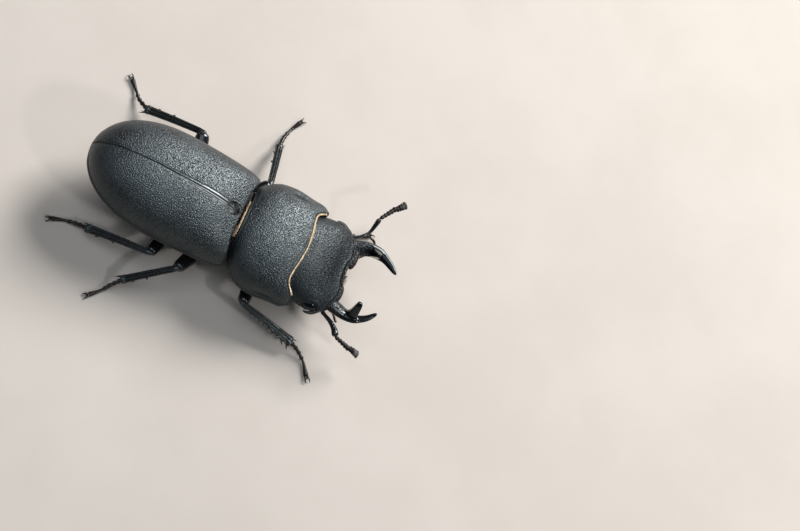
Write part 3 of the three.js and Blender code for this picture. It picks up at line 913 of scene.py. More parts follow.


# The shell's edge colour, paler than its blacks, paints highlights on the beads and rims.
SHELL = Chitin(
    "satin_shell",
    deep=(0.005, 0.006, 0.008), light=(0.010, 0.013, 0.016), roughness=0.29, roughness_swing=0.05,
    pit_roughness=0.12, pit_shade=0.5, pit_spacing=0.12, pit_width=0.55, pit_depth=0.031, grain=1.7,
    bump=1.0, reflectance=0.75, tint=(0.82, 0.95, 1.0), edge=(0.05, 0.049, 0.05), edge_gloss=0.02,
    stretch=1.2,
)
RIDGE = Chitin("cheek_ridge", (0.006, 0.007, 0.008), (0.010, 0.011, 0.012), roughness=0.36, pit_depth=0.01)
FINISHES: dict[str, Chitin | Hair] = {
    "shell": SHELL,
    "head": replace(SHELL, name="head_shell", roughness=0.27, pit_depth=0.022, reflectance=0.32),
    "ridge": RIDGE,
    "shield": replace(
        RIDGE, name="shield_gloss", roughness=0.26, reflectance=0.40, deep=(0.003, 0.003, 0.004)
    ),
    "underside": Chitin(
        "underside_shell",
        deep=(0.006, 0.005, 0.005), light=(0.012, 0.009, 0.008), slot="underside", roughness=0.3,
        coat=0.1,
    ),
    "limb": Chitin(
        "glossy_limb",
        deep=(0.004, 0.004, 0.005), light=(0.007, 0.007, 0.008), slot="limb", roughness=0.16,
        roughness_swing=0.06, pit_spacing=0.25, pit_depth=0.012, grain=0.3, coat=0.3,
        coat_roughness=0.08, tint=(0.88, 0.97, 1.0),
    ),
    "shin": Chitin(
        "furrowed_limb",
        deep=(0.006, 0.007, 0.008), light=(0.012, 0.014, 0.015), slot="limb", roughness=0.25,
        pit_spacing=0.16, pit_depth=0.025, grain=0.6, coat=0.2, reflectance=0.65,
        tint=(0.86, 0.96, 1.0),
    ),
    "face": Chitin(
        "pitted_face",
        deep=(0.003, 0.003, 0.004), light=(0.005, 0.005, 0.006), roughness=0.34, pit_roughness=0.25,
        pit_shade=0.9, pit_spacing=0.19, pit_width=0.6, pit_depth=0.09, grain=0.6, reflectance=0.4,
    ),
    "jaw": Chitin(
        "jaw_shell",
        deep=(0.005, 0.006, 0.007), light=(0.009, 0.011, 0.013), slot="jaw", roughness=0.28,
        pit_spacing=0.19, pit_depth=0.08, grain=1.0, reflectance=0.34, tint=(0.86, 0.96, 1.0),
        edge=(0.004, 0.004, 0.005), edge_gloss=0.16,
    ),
    "eye": Chitin(
        "eye_gloss",
        deep=(0.002, 0.002, 0.003), light=(0.003, 0.003, 0.004), slot="eye", roughness=0.08,
        roughness_swing=0.02, pit_roughness=0.03, pit_spacing=0.04, pit_width=0.7, pit_depth=0.002,
        grain=0.0, reflectance=0.30, tint=(0.75, 0.9, 1.0),
    ),
    "foot": Chitin(
        "foot_shell",
        deep=(0.004, 0.003, 0.003), light=(0.010, 0.006, 0.004), slot="foot", roughness=0.26,
        pit_depth=0.015, reflectance=0.35,
    ),
    "claw": Chitin(
        "claw_brown",
        deep=(0.006, 0.003, 0.003), light=(0.018, 0.007, 0.004), slot="foot", roughness=0.22,
        pit_depth=0.004, coat=0.1,
    ),
    "feeler": Chitin(
        "feeler_brown",
        deep=(0.004, 0.003, 0.003), light=(0.012, 0.007, 0.005), slot="feeler", roughness=0.4,
        pit_depth=0.015, reflectance=0.25,
    ),
    "club": Chitin(
        "club_velvet",
        deep=(0.05, 0.046, 0.04), light=(0.13, 0.12, 0.11), slot="club", roughness=0.7,
        pit_shade=0.3, pit_spacing=0.05, pit_depth=0.01, grain=0.6, reflectance=0.3,
    ),
    "golden": Hair("golden_bristle", dark=(0.36, 0.24, 0.12), pale=(0.88, 0.70, 0.48), roughness=0.35),
    "brown": Hair("brown_bristle", dark=(0.03, 0.014, 0.007), pale=(0.12, 0.06, 0.03), sheen=0.2),
}


# ---- wing cases -----------------------------------------------------------------------------


def eased(u: Array, share: float) -> Array:
    """Runs from 0 to 1, a share of it slowing down at both ends."""
    return share * (0.5 - 0.5 * np.cos(np.pi * u)) + (1 - share) * u


@dataclass
class WingCases:
    """The two hard wing cases and the small shield between their roots, in millimetres."""

    length: float = 13.95
    widest_at: float = 8.0
    half_width: float = 4.84
    rim: float = 4.35
    pitch: float = 0.065  # how fast the rim sinks towards the front
    level_at: float = 9.5
    crown: float = 3.5
    lip: float = 0.75
    tail_power: float = 2.4
    crown_power: float = 3.0
    roundness: float = 2.3
    fall_at: float = 9.5
    crown_loss: float = 0.34
    shoulder_loss: float = 0.076
    shoulder_power: float = 2.0
    shoulder_square: float = 0.7
    shoulder_reach: float = 0.38  # how far the shoulders stand ahead of the shield
    shoulder_round: float = 0.05
    shoulder_from: float = 12.6
    shoulder_side: tuple[float, float] = (1.8, 4.2)
    shoulder_bump: Bulge = Bulge(3.1, 12.6, 0.75, 0.9, 0.10)
    wall: float = 0.24
    lip_turn: float = 30.0  # degrees that the side edge turns under
    front_roll: float = 0.22
    roll_rows: float = 0.07  # share of the rows that go round the rolled front edge
    row_power: float = 1.7  # how much closer the rows stand towards the tail
    easing: float = 0.55
    bead: float = 0.24  # width of the smooth stripe beside the seam, painted paler as a highlight
    bead_slope: float = 0.17
    bead_line: Ridge = Ridge(0.03, 0.05, -0.035)
    seam_painted_shade: Ridge = Ridge(0.0, 0.04, -0.08)
    rim_bead: Ridge = Ridge(0.05, 0.10, 0.05)
    rim_channel: Ridge = Ridge(0.33, 0.12, -0.06)
    # The shine ridges paint highlights in a paler colour; the shade ridges paint shade.
    rim_shine: Ridge = Ridge(0.03, 0.07)
    seam_shade: Ridge = Ridge(0.0, 0.055)
    line_shade: Ridge = Ridge(0.04, 0.03)
    rim_shade: Ridge = Ridge(0.27, 0.09, 0.8)
    arc_shine: Ridge = Ridge(0.14, 0.07)
    columns: int = 150
    rows: int = 130
    shield_station: float = 13.1
    shield_half: tuple[float, float] = (0.55, 0.57)
    shield_top: float = 6.70
    shield_height: float = 0.42
    shield_hollow: float = 0.22
    shield_steps: tuple[tuple[float, float], ...] = ((0.05, 0.03), (0.05, 0), (0.10, -0.07), (0.18, -0.01))

    def rim_at(self, station: Array) -> Array:
        """The height of the side edge at each station."""
        return self.rim + self.pitch * (self.level_at - station)

    def taper(self, station: Array, power: float) -> Array:
        """How the wing cases narrow towards the tail and, a little, towards the shoulders."""
        back = np.clip((self.widest_at - station) / self.widest_at, 0.0, 1.0)
        ahead = np.clip((station - self.widest_at) / (self.length - self.widest_at), 0.0, 1.0)
        tail = np.sqrt(np.clip(1 - back**power, 0.0, 1.0))
        return tail * (1 - self.shoulder_loss * ahead**self.shoulder_power)

    def ring(self, station: Array) -> tuple[Array, Array, Array, Array]:
        """The outer ring at each station: half width, height, lip and squareness."""
        fall = np.clip((station - self.fall_at) / (self.length - self.fall_at), 0.0, 1.0)
        wide = self.half_width * self.taper(station, self.tail_power)
        back = self.taper(np.minimum(station, self.widest_at), self.crown_power)
        up = self.crown * back * (1 - self.crown_loss * fall**2)
        down = self.lip * self.taper(station, self.tail_power)
        return wide, up, down, self.roundness + self.shoulder_square * fall**2

    def station(self, v: Array) -> tuple[Array, Array]:
        """The station of each row, and how far it is round the rolled front edge."""
        body_rows = 1 - self.roll_rows
        roll = np.clip((v - body_rows) / self.roll_rows, 0.0, 1.0)
        body = (self.length - self.front_roll) * np.clip(v / body_rows, 0.0, 1.0) ** self.row_power
        return body + self.front_roll * np.sin(0.5 * np.pi * roll), roll

    def base(self, side: Side) -> Place:
        """One wing case's plain outer surface: u from the seam to the lip, v from tail to front."""

        def place(u: Array, v: Array) -> Array:
            """The surface's places."""
            station, _ = self.station(v)
            wide, up, down, power = self.ring(station)
            angle = np.radians(90 - (90 + self.lip_turn) * eased(u, self.easing))
            across, height = oval(angle, wide, up, down, power)
            seam = 0.5 * GAP
            across = seam + across * np.clip(1 - seam / np.maximum(wide, seam), 0.0, 1.0)
            front = smoothstep(station, self.shoulder_from, self.length)
            across *= 1 - self.shoulder_round * front**3
            station = station + self.shoulder_reach * front * smoothstep(across, *self.shoulder_side)
            return rows(side.value * across, -station, self.rim_at(station) + height)

        return place

    def bead_width(self, station: Array) -> Array:
        """The width of the smooth bead beside the seam, broader towards the shield."""
        return self.bead * (0.45 + 0.75 * smoothstep(station, 5.0, 12.0))

    def from_shield(self, points: Array) -> Array:
        """How far places are from the shield's middle, seen from above."""
        return np.hypot(points[:, 0], -points[:, 1] - self.shield_station)

    def surface(self, side: Side) -> Place:
        """One wing case's outer surface with its seam bead, side bead and rolled front."""

        def relief(u: Array, v: Array, points: Array) -> Array:
            """The relief's height at each place."""
            _, roll = self.station(v)
            from_seam, station = np.abs(points[:, 0]), -points[:, 1]
            bead = self.bead_width(station)
            slope = np.clip(bead - from_seam, 0.0, 1.0) * smoothstep(station, 4.0, 8.0)
            seam = self.bead_slope * slope + self.bead_line(from_seam - bead) + self.seam_painted_shade(from_seam)
            above_rim = points[:, 2] - self.rim_at(station)
            rim = self.rim_bead(above_rim) + self.rim_channel(above_rim)
            fade = smoothstep(v, 0.02, 0.12)
            reach = self.shield_half[0]
            beside = smoothstep(self.from_shield(points), reach - 0.04, reach + 0.05)
            hollow = -self.shield_hollow * (1 - beside)
            edge = -self.front_roll * (1 - np.cos(0.5 * np.pi * roll))
            return (seam + rim) * fade + hollow + edge + self.shoulder_bump(from_seam, station)

        return raised(self.base(side), relief, (0.0, -7.0, self.rim - 1.0))

    def edge_mark(self, u: Array, v: Array) -> Array:
        """1 on the seam's bead, the side bead and the arc behind the shield: glossy, with a painted
        highlight.
        """
        points = self.base(Side.LEFT)(u, v)
        side, station = points[:, 0], -points[:, 1]
        width = self.bead_width(station)
        bead = (1 - smoothstep(side, width - 0.03, width + 0.01)) * smoothstep(station, 3.0, 7.5)
        rim = self.rim_shine(points[:, 2] - self.rim_at(station)) * (side > 1.0)
        arc = self.arc_shine(self.from_shield(points) - self.shield_half[0])
        return np.clip(bead + rim + arc * (station < self.shield_station + 0.1), 0.0, 1.0)

    def painted_shade_mark(self, u: Array, v: Array) -> Array:
        """Painted shade: 1 in the seam, in the line beside its bead, in the side channel and at the front.
        """
        points = self.base(Side.LEFT)(u, v)
        side, station = points[:, 0], -points[:, 1]
        line = self.line_shade(side - self.bead_width(station)) * smoothstep(station, 5.0, 8.0)
        channel = self.rim_shade(points[:, 2] - self.rim_at(station))
        front = smoothstep(v, 0.955, 0.985)
        return np.clip(self.seam_shade(side) + line + channel + front, 0.0, 1.0)

    def build(self, dresser: Dresser) -> None:
        """Makes both wing cases and the shield."""
        marks = {"edge": self.edge_mark, "painted_shade": self.painted_shade_mark}
        for side in Side:
            name = f"wing_case_{side.word}"
            case = plate(name, (self.columns, self.rows), self.surface(side), marks, self.wall)
            dresser.deliver(case, "shell", f"elytron_{side.word}", crease=SOFT_CREASE)
        dresser.deliver(self.shield(), "shield", "scutellum")

    def shield(self) -> Piece:
        """The small rounded shield: a thick disc with a rolled rim and a dished middle."""
        deselect_all()
        height = self.shield_height
        middle = tuple(at(0.0, self.shield_station, self.shield_top - 0.5 * height))
        bpy.ops.mesh.primitive_cylinder_add(vertices=20, radius=1, depth=height, location=middle)
        shield = name_active("shield")
        apply_transform()
        edit_mode()
        bpy.ops.transform.resize(value=(*self.shield_half, 1), center_override=middle)
        select_faces(shield, facing_up)
        edit_mode()
        for inwards, rise in self.shield_steps:
            bpy.ops.mesh.inset(thickness=inwards, depth=rise)
        object_mode()
        return settle_piece(subdivide(shield))


# ---- trunk ------------------------------------------------------------------------------------


@dataclass
class Trunk:
    """The underside: the belly's rings, the hind breastplate, the neck ring and the front breast."""

    wings: WingCases
    pronotum: "Pronotum"
    wall: float = 0.5
    belly_depth: float = 2.35
    belly_tail: float = 0.45
    belly_front: float = 9.42
    belly_dimple: Ridge = Ridge(2.9, 0.35, -0.05)
    ring_stations: tuple[float, ...] = (1.7, 3.5, 5.2, 6.8, 8.3)
    chest_depth: float = 2.55
    chest_front: float = 13.5
    chest_painted_shade: Ridge = Ridge(0.0, 0.09, -0.07)
    chest_seam: Ridge = Ridge(3.1, 0.08, -0.06)
    chest_bulge: Bulge = Bulge(1.6, 11.2, 0.9, 1.2, 0.08)
    neck_half: Point = (3.25, 1.72, 1.78)  # half width, height and depth
    neck_roundness: float = 2.2
    neck_height: float = 4.08
    neck_span: tuple[float, float] = (13.56, 14.72)
    breast_span: tuple[float, float] = (14.3, 20.45)
    breast_inset: float = 0.38
    breast_rise: float = 0.1
    breast_depth: float = 2.43
    breast_keel: Bulge = Bulge(0.0, 16.9, 0.28, 1.1, 0.16)
    breast_seam: Ridge = Ridge(2.9, 0.08, -0.05)

    def body(self, station: Array, depth: float) -> tuple[Array, Array, Array, Array]:
        """The ring of the body inside the wing cases."""
        wide, up, _, power = self.wings.ring(station)
        taper = self.wings.taper(np.minimum(station, self.wings.widest_at), 2.0)
        sizes = (wide - self.wall, up - self.wall, depth * taper)
        return *(np.maximum(size, 0.05) for size in sizes), power

    def lofted(self, first: float, last: float, depth: float) -> Place:
        """A closed piece of the body from one station to another."""
        end = 0.06

        def base(u: Array, v: Array) -> Array:
            """The surface's places."""
            station = first + (last - first) * np.clip((v - end) / (1 - 2 * end), 0.0, 1.0)
            closing = rounded_ends(v, end)
            side, height = oval(2 * np.pi * u, *self.body(station, depth))
            return rows(side * closing, -station, self.wings.rim_at(station) + height * closing)

        return base

    def belly(self) -> Place:
        """The belly, each ring's hind edge lapping over the next."""

        def relief(u: Array, v: Array, points: Array) -> Array:
            """The relief's height at each place."""
            station = -points[:, 1]
            below = smoothstep(self.wings.rim_at(station) - points[:, 2], 0.1, 0.6)
            lap = np.zeros_like(station)
            for place in self.ring_stations:
                ahead = station - place
                lap += np.where(ahead > 0, 0.06 * np.exp(-ahead / 0.6), -0.05 * np.exp(ahead / 0.12))
            return (lap + self.belly_dimple(np.abs(points[:, 0]))) * below

        base = self.lofted(self.belly_tail, self.belly_front, self.belly_depth)
        return raised(base, relief, (0, 0, self.wings.rim))

    def chest(self) -> Place:
        """The hind breastplate, with a fine groove along its middle and one across."""

        def relief(u: Array, v: Array, points: Array) -> Array:
            """The relief's height at each place."""
            side, station = np.abs(points[:, 0]), -points[:, 1]
            below = smoothstep(self.wings.rim_at(station) - points[:, 2], 0.6, 1.6)
            seam = self.chest_seam(side - 0.25 * (station - 9.4))
            return (self.chest_painted_shade(points[:, 0]) + self.chest_bulge(side, station) + seam) * below

        base = self.lofted(self.belly_front + GAP, self.chest_front, self.chest_depth)
        return raised(base, relief, (0, 0, self.wings.rim))

    def neck_ring(self, u: Array, v: Array) -> Array:
        """The ring between the pronotum and the wing cases, with two shallow folds."""
        closing = rounded_ends(v, 0.08)
        fold = 1 - 0.03 * np.cos(4 * np.pi * v)
        sizes = (half * fold for half in self.neck_half)
        side, height = oval(2 * np.pi * u, *sizes, self.neck_roundness)
        first, last = self.neck_span
        return rows(side * closing, -(first + (last - first) * v), self.neck_height + height * closing)

    def neck_top(self, side: Array) -> Array:
        """The height of the neck ring's upper side."""
        wide, up, _ = self.neck_half
        power = self.neck_roundness
        return self.neck_height + up * (1 - (np.abs(side) / wide) ** power) ** (1 / power)

    def front_breast(self) -> Place:
        """The plate under the pronotum, with a keel between the front hips."""
        low, high = self.breast_span

        def base(u: Array, v: Array) -> Array:
            """The surface's places."""
            closing = rounded_ends(v, 0.06)
            station = low + (high - low) * v
            wide = self.pronotum.half_width(station) - self.breast_inset
            narrowing = 0.18 * smoothstep(station, 18.5, high) + 0.12 * smoothstep(-station, -15.2, -low)
            rise = np.full_like(station, self.breast_rise)
            side, height = oval(2 * np.pi * u, wide, rise, self.breast_depth * (1 - narrowing), 2.1)
            return rows(side * closing, -station, self.pronotum.rim(station) - 0.12 + height * closing)

        def relief(u: Array, v: Array, points: Array) -> Array:
            """The relief's height at each place."""
            station = -points[:, 1]
            seam = self.breast_seam(np.abs(points[:, 0]) - 0.12 * (20 - station))
            return self.breast_keel(points[:, 0], station) + seam

        return raised(base, relief, (0, 0, 4.0))

    def build(self, dresser: Dresser) -> None:
        """Makes the four pieces."""
        pieces = (
            ("belly_rings", (72, 110), self.belly(), "abdomen"),
            ("hind_breastplate", (96, 60), self.chest(), "metathorax"),
            ("neck_ring", (64, 24), self.neck_ring, "mesothorax"),
            ("front_breast", (80, 60), self.front_breast(), "prosternum"),
        )
        for name, counts, place, node in pieces:
            skin = close_up(lay_grid(name, counts, place))
            dresser.deliver(skin, "underside", node, crease=SOFT_CREASE)


# ---- pronotum ---------------------------------------------------------------------------------


@dataclass
class Pronotum:
    """The broad plate behind the head, with its turned-up side edges and waved front edge."""

    back: float = 14.2
    lip: float = 0.45
    roundness: float = 2.2
    wall: float = 0.22
    lip_turn: float = 34.0
    easing: float = 0.4
    roll: float = 0.12
    columns: int = 190
    rows: int = 120
    half_width: Profile = Profile(
        ((14.2, 2.8), (14.85, 4.0), (15.8, 4.82), (17.2, 5.2), (19.2, 5.07), (20.5, 4.9), (21.35, 4.25))
    )
    top: Profile = Profile(((14.2, 6.6), (15.2, 7.0), (17.2, 7.2), (19.0, 6.95), (20.3, 6.5), (21.35, 6.0)))
    rim: Profile = Profile(((14.2, 4.5), (16, 3.98), (19, 3.92), (21.35, 4.05)))
    front_edge: Profile = Profile(
        (
            (0, 20.22), (1.4, 20.07), (2.6, 19.90), (3.3, 19.93), (3.7, 20.2), (4.05, 20.65),
            (4.4, 20.92), (5.2, 21.0),
        )
    )
    rim_bead: Ridge = Ridge(0.05, 0.10, 0.07)
    front_bead: Ridge = Ridge(0.12, 0.06, 0.02)
    front_line: Ridge = Ridge(0.25, 0.06, -0.03)
    back_bead: Ridge = Ridge(0.08, 0.05, 0.03)
    back_line: Ridge = Ridge(0.19, 0.05, -0.04)
    middle_line: Ridge = Ridge(0.0, 0.16, -0.015)
    crescent: Ridge = Ridge(0.62, 0.20)  # the hollow above the side channel, by its height, also painted dark as shade
    crescent_at: float = 18.5
    dimples: Bulge = Bulge(3.2, 16.6, 0.5, 0.6, -0.05)
    left_dent: Bulge = Bulge(4.08, 17.9, 0.20, 0.8, -0.24)
    dent_shade: Bulge = Bulge(4.12, 17.9, 0.15, 0.8, 1.5)
    # The shine ridges paint highlights in a paler colour; the shade ridges paint shade.
    rim_shine: Ridge = Ridge(0.03, 0.07)
    back_shine: Ridge = Ridge(0.08, 0.04)
    rim_shade: Ridge = Ridge(0.24, 0.06, 0.4)
    back_shade: Ridge = Ridge(0.18, 0.04, 0.8)

    def sheet(self, u: Array, v: Array) -> Array:
        """The plain plate: u from the left lip over the top to the right, v from back to front."""
        angle = np.radians(-self.lip_turn + (180 + 2 * self.lip_turn) * eased(u, self.easing))
        shape, _ = superellipse(angle, self.roundness)
        run = v + 0.012 * np.sin(2 * np.pi * v)
        station = self.back + 6 * run
        for _ in range(EDGE_ROUNDS):
            side = shape * self.half_width(station)
            station = self.back + run * (self.front_edge(np.abs(side)) - self.back)
        wide = self.half_width(station)
        rise = self.top(station) - self.rim(station)
        side, height = oval(angle, wide, rise, np.full_like(wide, self.lip), self.roundness)
        return rows(side, -station, self.rim(station) + height)

    def distances(self, points: Array) -> tuple[Array, Array, Array]:
        """How far places are from the front edge, the back edge and the rim's height."""
        station = -points[:, 1]
        from_front = self.front_edge(np.abs(points[:, 0])) - station
        return from_front, station - self.back, points[:, 2] - self.rim(station)

    def surface(self) -> Place:
        """The plate with its beads and grooves."""

        def relief(u: Array, v: Array, points: Array) -> Array:
            """The relief's height at each place."""
            side, station = points[:, 0], -points[:, 1]
            from_front, from_back, above = self.distances(points)
            margin = 0.55 + 0.45 * smoothstep(station, 17.5, 20.2)
            channel = 0.11 * margin * hump(above, 0.28 * margin + 0.06, 0.13 * margin)
            hollow = 0.16 * hump(station, self.crescent_at, 0.75) * self.crescent(above)
            front = self.front_bead(from_front) + self.front_line(from_front)
            front -= self.roll * hump(from_front, 0.0, 0.06)
            back = self.back_bead(from_back) + self.back_line(from_back)
            back -= self.roll * hump(from_back, 0.0, 0.05)
            middle = self.middle_line(side) * smoothstep(from_back, 1.0, 2.0)
            dents = self.dimples(np.abs(side), station) + self.left_dent(side, station)
            on_top = smoothstep(above, 0.1, 0.6)
            return self.rim_bead(above) - channel - hollow + (front + back + middle + dents) * on_top

        return raised(self.sheet, relief, (0.0, -17.5, 3.6))

    def edge_mark(self, u: Array, v: Array) -> Array:
        """1 on the smooth beads of the side and back edges, 0 elsewhere: glossy, with a painted highlight.
        """
        _, from_back, above = self.distances(self.sheet(u, v))
        return np.clip(self.rim_shine(above) + self.back_shine(from_back) * (above > 0.1), 0.0, 1.0)

    def painted_shade_mark(self, u: Array, v: Array) -> Array:
        """Painted shade: 1 along the front edge, in the side channels, crescent and dent, and along the
        back edge's line.
        """
        points = self.sheet(u, v)
        side, station = points[:, 0], -points[:, 1]
        from_front, from_back, above = self.distances(points)
        front = 1 - smoothstep(from_front, 0.13, 0.21)
        crescent = np.clip(1.4 * hump(station, self.crescent_at, 0.8), 0.0, 1.0) * self.crescent(above)
        channel = self.rim_shade(above) + crescent + self.dent_shade(side, station)
        return np.clip(front + channel + self.back_shade(from_back), 0.0, 1.0)

    def build(self, dresser: Dresser) -> None:
        """Makes the plate."""
        marks = {"edge": self.edge_mark, "painted_shade": self.painted_shade_mark}
        piece = plate("pronotum_plate", (self.columns, self.rows), self.surface(), marks, self.wall)
        dresser.deliver(piece, "shell", "pronotum", crease=SOFT_CREASE)


# ---- head -------------------------------------------------------------------------------------


@dataclass
class Head:
    """The head with its eyes, lips and jaws, turned a little to the left."""

    turn: float = math.radians(2.5)
    neck: float = 20.5
    back: float = 19.55
    roundness: float = 2.5
    columns: int = 200
    rows: int = 150
    half_width: Profile = Profile(
        ((19.55, 3.85), (21, 4.05), (22.1, 4.14), (22.9, 4.17), (23.5, 3.98), (24.15, 3.42), (24.75, 2.7))
    )
    top: Profile = Profile(
        ((19.55, 6.25), (21, 6.12), (22.2, 5.75), (23.4, 5.2), (24.3, 4.72), (24.75, 4.4))
    )
    side: Profile = Profile(((19.55, 4.25), (22, 4.1), (24.75, 3.85)))
    under: Profile = Profile(((19.55, 2.35), (21, 2.15), (23.2, 2.35), (24.75, 3.05)))
    front_edge: Profile = Profile(
        (
            (0, 24.38), (0.5, 24.38), (0.85, 24.42), (1.15, 24.53), (1.5, 24.60), (2.46, 24.46),
            (3.35, 24.12), (5, 23.95),
        )
    )
    face_rows: float = 0.88  # share of the rows behind the fold of the front edge
    neck_rows: float = 0.04  # share of the rows that close the neck
    front_lip: float = 0.3  # length of the front edge's fold
    front_hollow: Bulge = Bulge(0.0, 23.75, 1.5, 0.75, -0.14)
    brow: Bulge = Bulge(3.2, 22.7, 0.35, 0.9, 0.06)
    socket_rim: Ridge = Ridge(1.3, 0.14, 0.04)
    socket_ring: Ridge = Ridge(1.02, 0.12, -0.09)
    eye_at: Point = (3.76, 22.4, 4.06)
    eye_size: Point = (0.56, 0.82, 0.70)
    face_strip: float = 0.24  # width of the sunken pitted strip inside the front edge, painted dark as shade
    jaw_line: tuple[Point, ...] = (
        (2.6, 23.6, 3.75), (2.95, 24.7, 3.82), (3.25, 25.7, 3.95), (3.2, 26.7, 4.0),
        (2.75, 27.6, 4.15),
    )
    jaw_tip: dict[Side, Point] = field(
        default_factory=lambda: {Side.LEFT: (1.92, 28.55, 4.4), Side.RIGHT: (2.1, 28.2, 4.4)}
    )
    jaw_lean: float = math.atan(0.55)
    jaw_polish: tuple[float, float] = (24.8, 25.9)  # stations between which the pits end
    jaw_stops: tuple[Stop, ...] = (
        (0.0, 0.45, 0.38), (0.03, 0.62, 0.52), (0.10, 0.71, 0.56), (0.18, 0.72, 0.56),
        (0.27, 0.70, 0.52), (0.36, 0.66, 0.46), (0.43, 0.62, 0.42), (0.49, 0.59, 0.38),
        (0.55, 0.57, 0.35), (0.61, 0.52, 0.30), (0.66, 0.42, 0.26), (0.74, 0.36, 0.24),
        (0.84, 0.31, 0.21), (0.93, 0.23, 0.17), (0.98, 0.14, 0.11), (1.0, 0.07, 0.06),
    )
    jaw_tooth: tuple[tuple[Point, float], ...] = (
        ((2.86, 26.24, 4.45), 0.86), ((2.62, 26.28, 4.95), 0.86), ((2.42, 26.3, 5.4), 0.84),
        ((2.30, 26.3, 5.72), 0.72),
    )

    def turned(self, points: Array) -> Array:
        """Turns places with the head, about the neck."""
        c, s = math.cos(self.turn), math.sin(self.turn)
        side, ahead = points[:, 0], points[:, 1] + self.neck
        return rows(c * side - s * ahead, s * side + c * ahead - self.neck, points[:, 2])

    def spots(self, places: Sequence[Sequence[float]], side: Side = Side.LEFT) -> Array:
        """Places on the turned head from (side, station, height), mirrored for the right side."""
        return self.turned(np.array([at(side.value * x, station, z) for x, station, z in places]))

    def capsule(self, u: Array, v: Array) -> Array:
        """The plain head: u runs round it and v from the neck to the front edge."""
        angle = 2 * np.pi * u
        shape, _ = superellipse(angle, self.roundness)
        lip = self.front_lip
        fold = np.clip((v - self.face_rows) / (1 - self.face_rows), 0.0, 1.0)
        opening = np.sqrt(np.clip(1 - (1 - np.clip(v / self.neck_rows, 0, 1)) ** 2, 0.0, 1.0))
        share = np.clip(v / self.face_rows, 0.0, 1.0)
        station = self.back + 5 * share
        for _ in range(EDGE_ROUNDS):
            edge = self.front_edge(np.abs(shape * self.half_width(station)))
            station = self.back + share * (edge - lip - self.back) + lip * (1 - (1 - fold) ** 3)
        middle = self.side(station)
        up, down = self.top(station) - middle, middle - self.under(station)
        side, height = oval(angle, self.half_width(station), up, down, self.roundness)
        return rows(side * opening, -station, middle + height * opening * (1 - fold**2))

    def from_eye(self, points: Array) -> Array:
        """How far places are from the eyes' middles, in eye sizes."""
        spots = rows(np.abs(points[:, 0]), -points[:, 1], points[:, 2])
        return np.linalg.norm((spots - np.array(self.eye_at)) / np.array(self.eye_size), axis=1)

    def surface(self, u: Array, v: Array) -> Array:
        """The turned head with its brow ridges, front hollow, front ledge and eye sockets."""
        strip = self.face_strip

        def relief(u: Array, v: Array, points: Array) -> Array:
            """The relief's height at each place."""
            side, station = np.abs(points[:, 0]), -points[:, 1]
            over = smoothstep(points[:, 2], 4.1, 4.7)
            inside = self.front_edge(side) - station
            ledge = 0.03 * hump(inside, strip + 0.12, 0.1)
            ledge -= 0.10 * (1 - smoothstep(inside, strip - 0.06, strip + 0.06))
            reach = self.from_eye(points)
            hollow = self.front_hollow(points[:, 0], station)
            front = (hollow + self.brow(side, station) + ledge) * over
            return front + self.socket_rim(reach) + self.socket_ring(reach)

        return self.turned(raised(self.capsule, relief, (0.0, -22.0, 4.1))(u, v))

    def painted_shade_mark(self, u: Array, v: Array) -> Array:
        """Painted shade: 1 in the eye sockets and on the face below the front edge, 0 elsewhere."""
        points = self.capsule(u, v)
        socket = 1 - smoothstep(self.from_eye(points), 1.08, 1.25)
        inside = self.front_edge(np.abs(points[:, 0])) + points[:, 1]
        strip = 0.85 * (1 - smoothstep(inside, self.face_strip - 0.03, self.face_strip + 0.05))
        face = np.maximum(strip * (points[:, 2] > 3.6), 0.6 * smoothstep(v, 0.9, 0.94))
        return np.clip(socket + face, 0.0, 1.0)

    def eye(self, side: Side) -> Piece:
        """An eye: a ball pressed in where the cheek ridge crosses it."""
        (centre,) = self.spots([self.eye_at], side)
        deselect_all()
        ball = {"segments": 40, "ring_count": 26, "radius": 1, "scale": self.eye_size}
        bpy.ops.mesh.primitive_uv_sphere_add(location=tuple(centre), rotation=(0, 0, self.turn), **ball)
        apply_transform()
        eye = name_active(f"eye_ball_{side.word}")
        notch = centre + np.array([side.value * self.eye_size[0], -0.35, -0.25])
        reach, push = 0.30, 0.06
        select_faces(eye, lambda centres, normals: np.linalg.norm(centres - notch, axis=1) < reach)
        edit_mode()
        bpy.ops.transform.translate(value=(-push * side.value, 0.0, 0.0))
        object_mode()
        return settle_piece(eye)

    def cheek_ridge(self, side: Side) -> Piece:
        """The narrow ridge that reaches back outside the lower half of the eye."""
        places = ((3.7, 23.5, 4.1), (4.2, 23.1, 3.98), (4.5, 22.6, 3.88), (4.42, 22.1, 3.85))
        radii = ((0, 0.16, 0.12), (0.2, 0.22, 0.16), (0.55, 0.20, 0.13), (0.85, 0.15, 0.10))
        return limb("cheek", Path.of(*self.spots(places, side)), (*radii, (1, 0.07, 0.05)), 8)

    def face_lobe(self, side: Side) -> Piece:
        """The pitted lobe below the front edge, between the upper lip and the jaw."""
        reach, ahead = (1.0, 0.22) if side is Side.LEFT else (0.72, 0.1)
        inner, outer = (0.85, 24.35, 3.8), (1.5, 24.5, 3.85)
        places = (inner, outer, (2.6 * reach, 24.5, 3.85), (3.5 * reach, 24.2, 3.85))
        spots = self.spots([(x, station + ahead, z) for x, station, z in places], side)
        radii = ((0, 0.14, 0.16), (0.06, 0.28, 0.30), (0.25, 0.38, 0.38), (0.7, 0.38, 0.38))
        return limb("face_lobe", Path.of(*spots), (*radii, (0.94, 0.3, 0.3), (1, 0.15, 0.15)), 12)

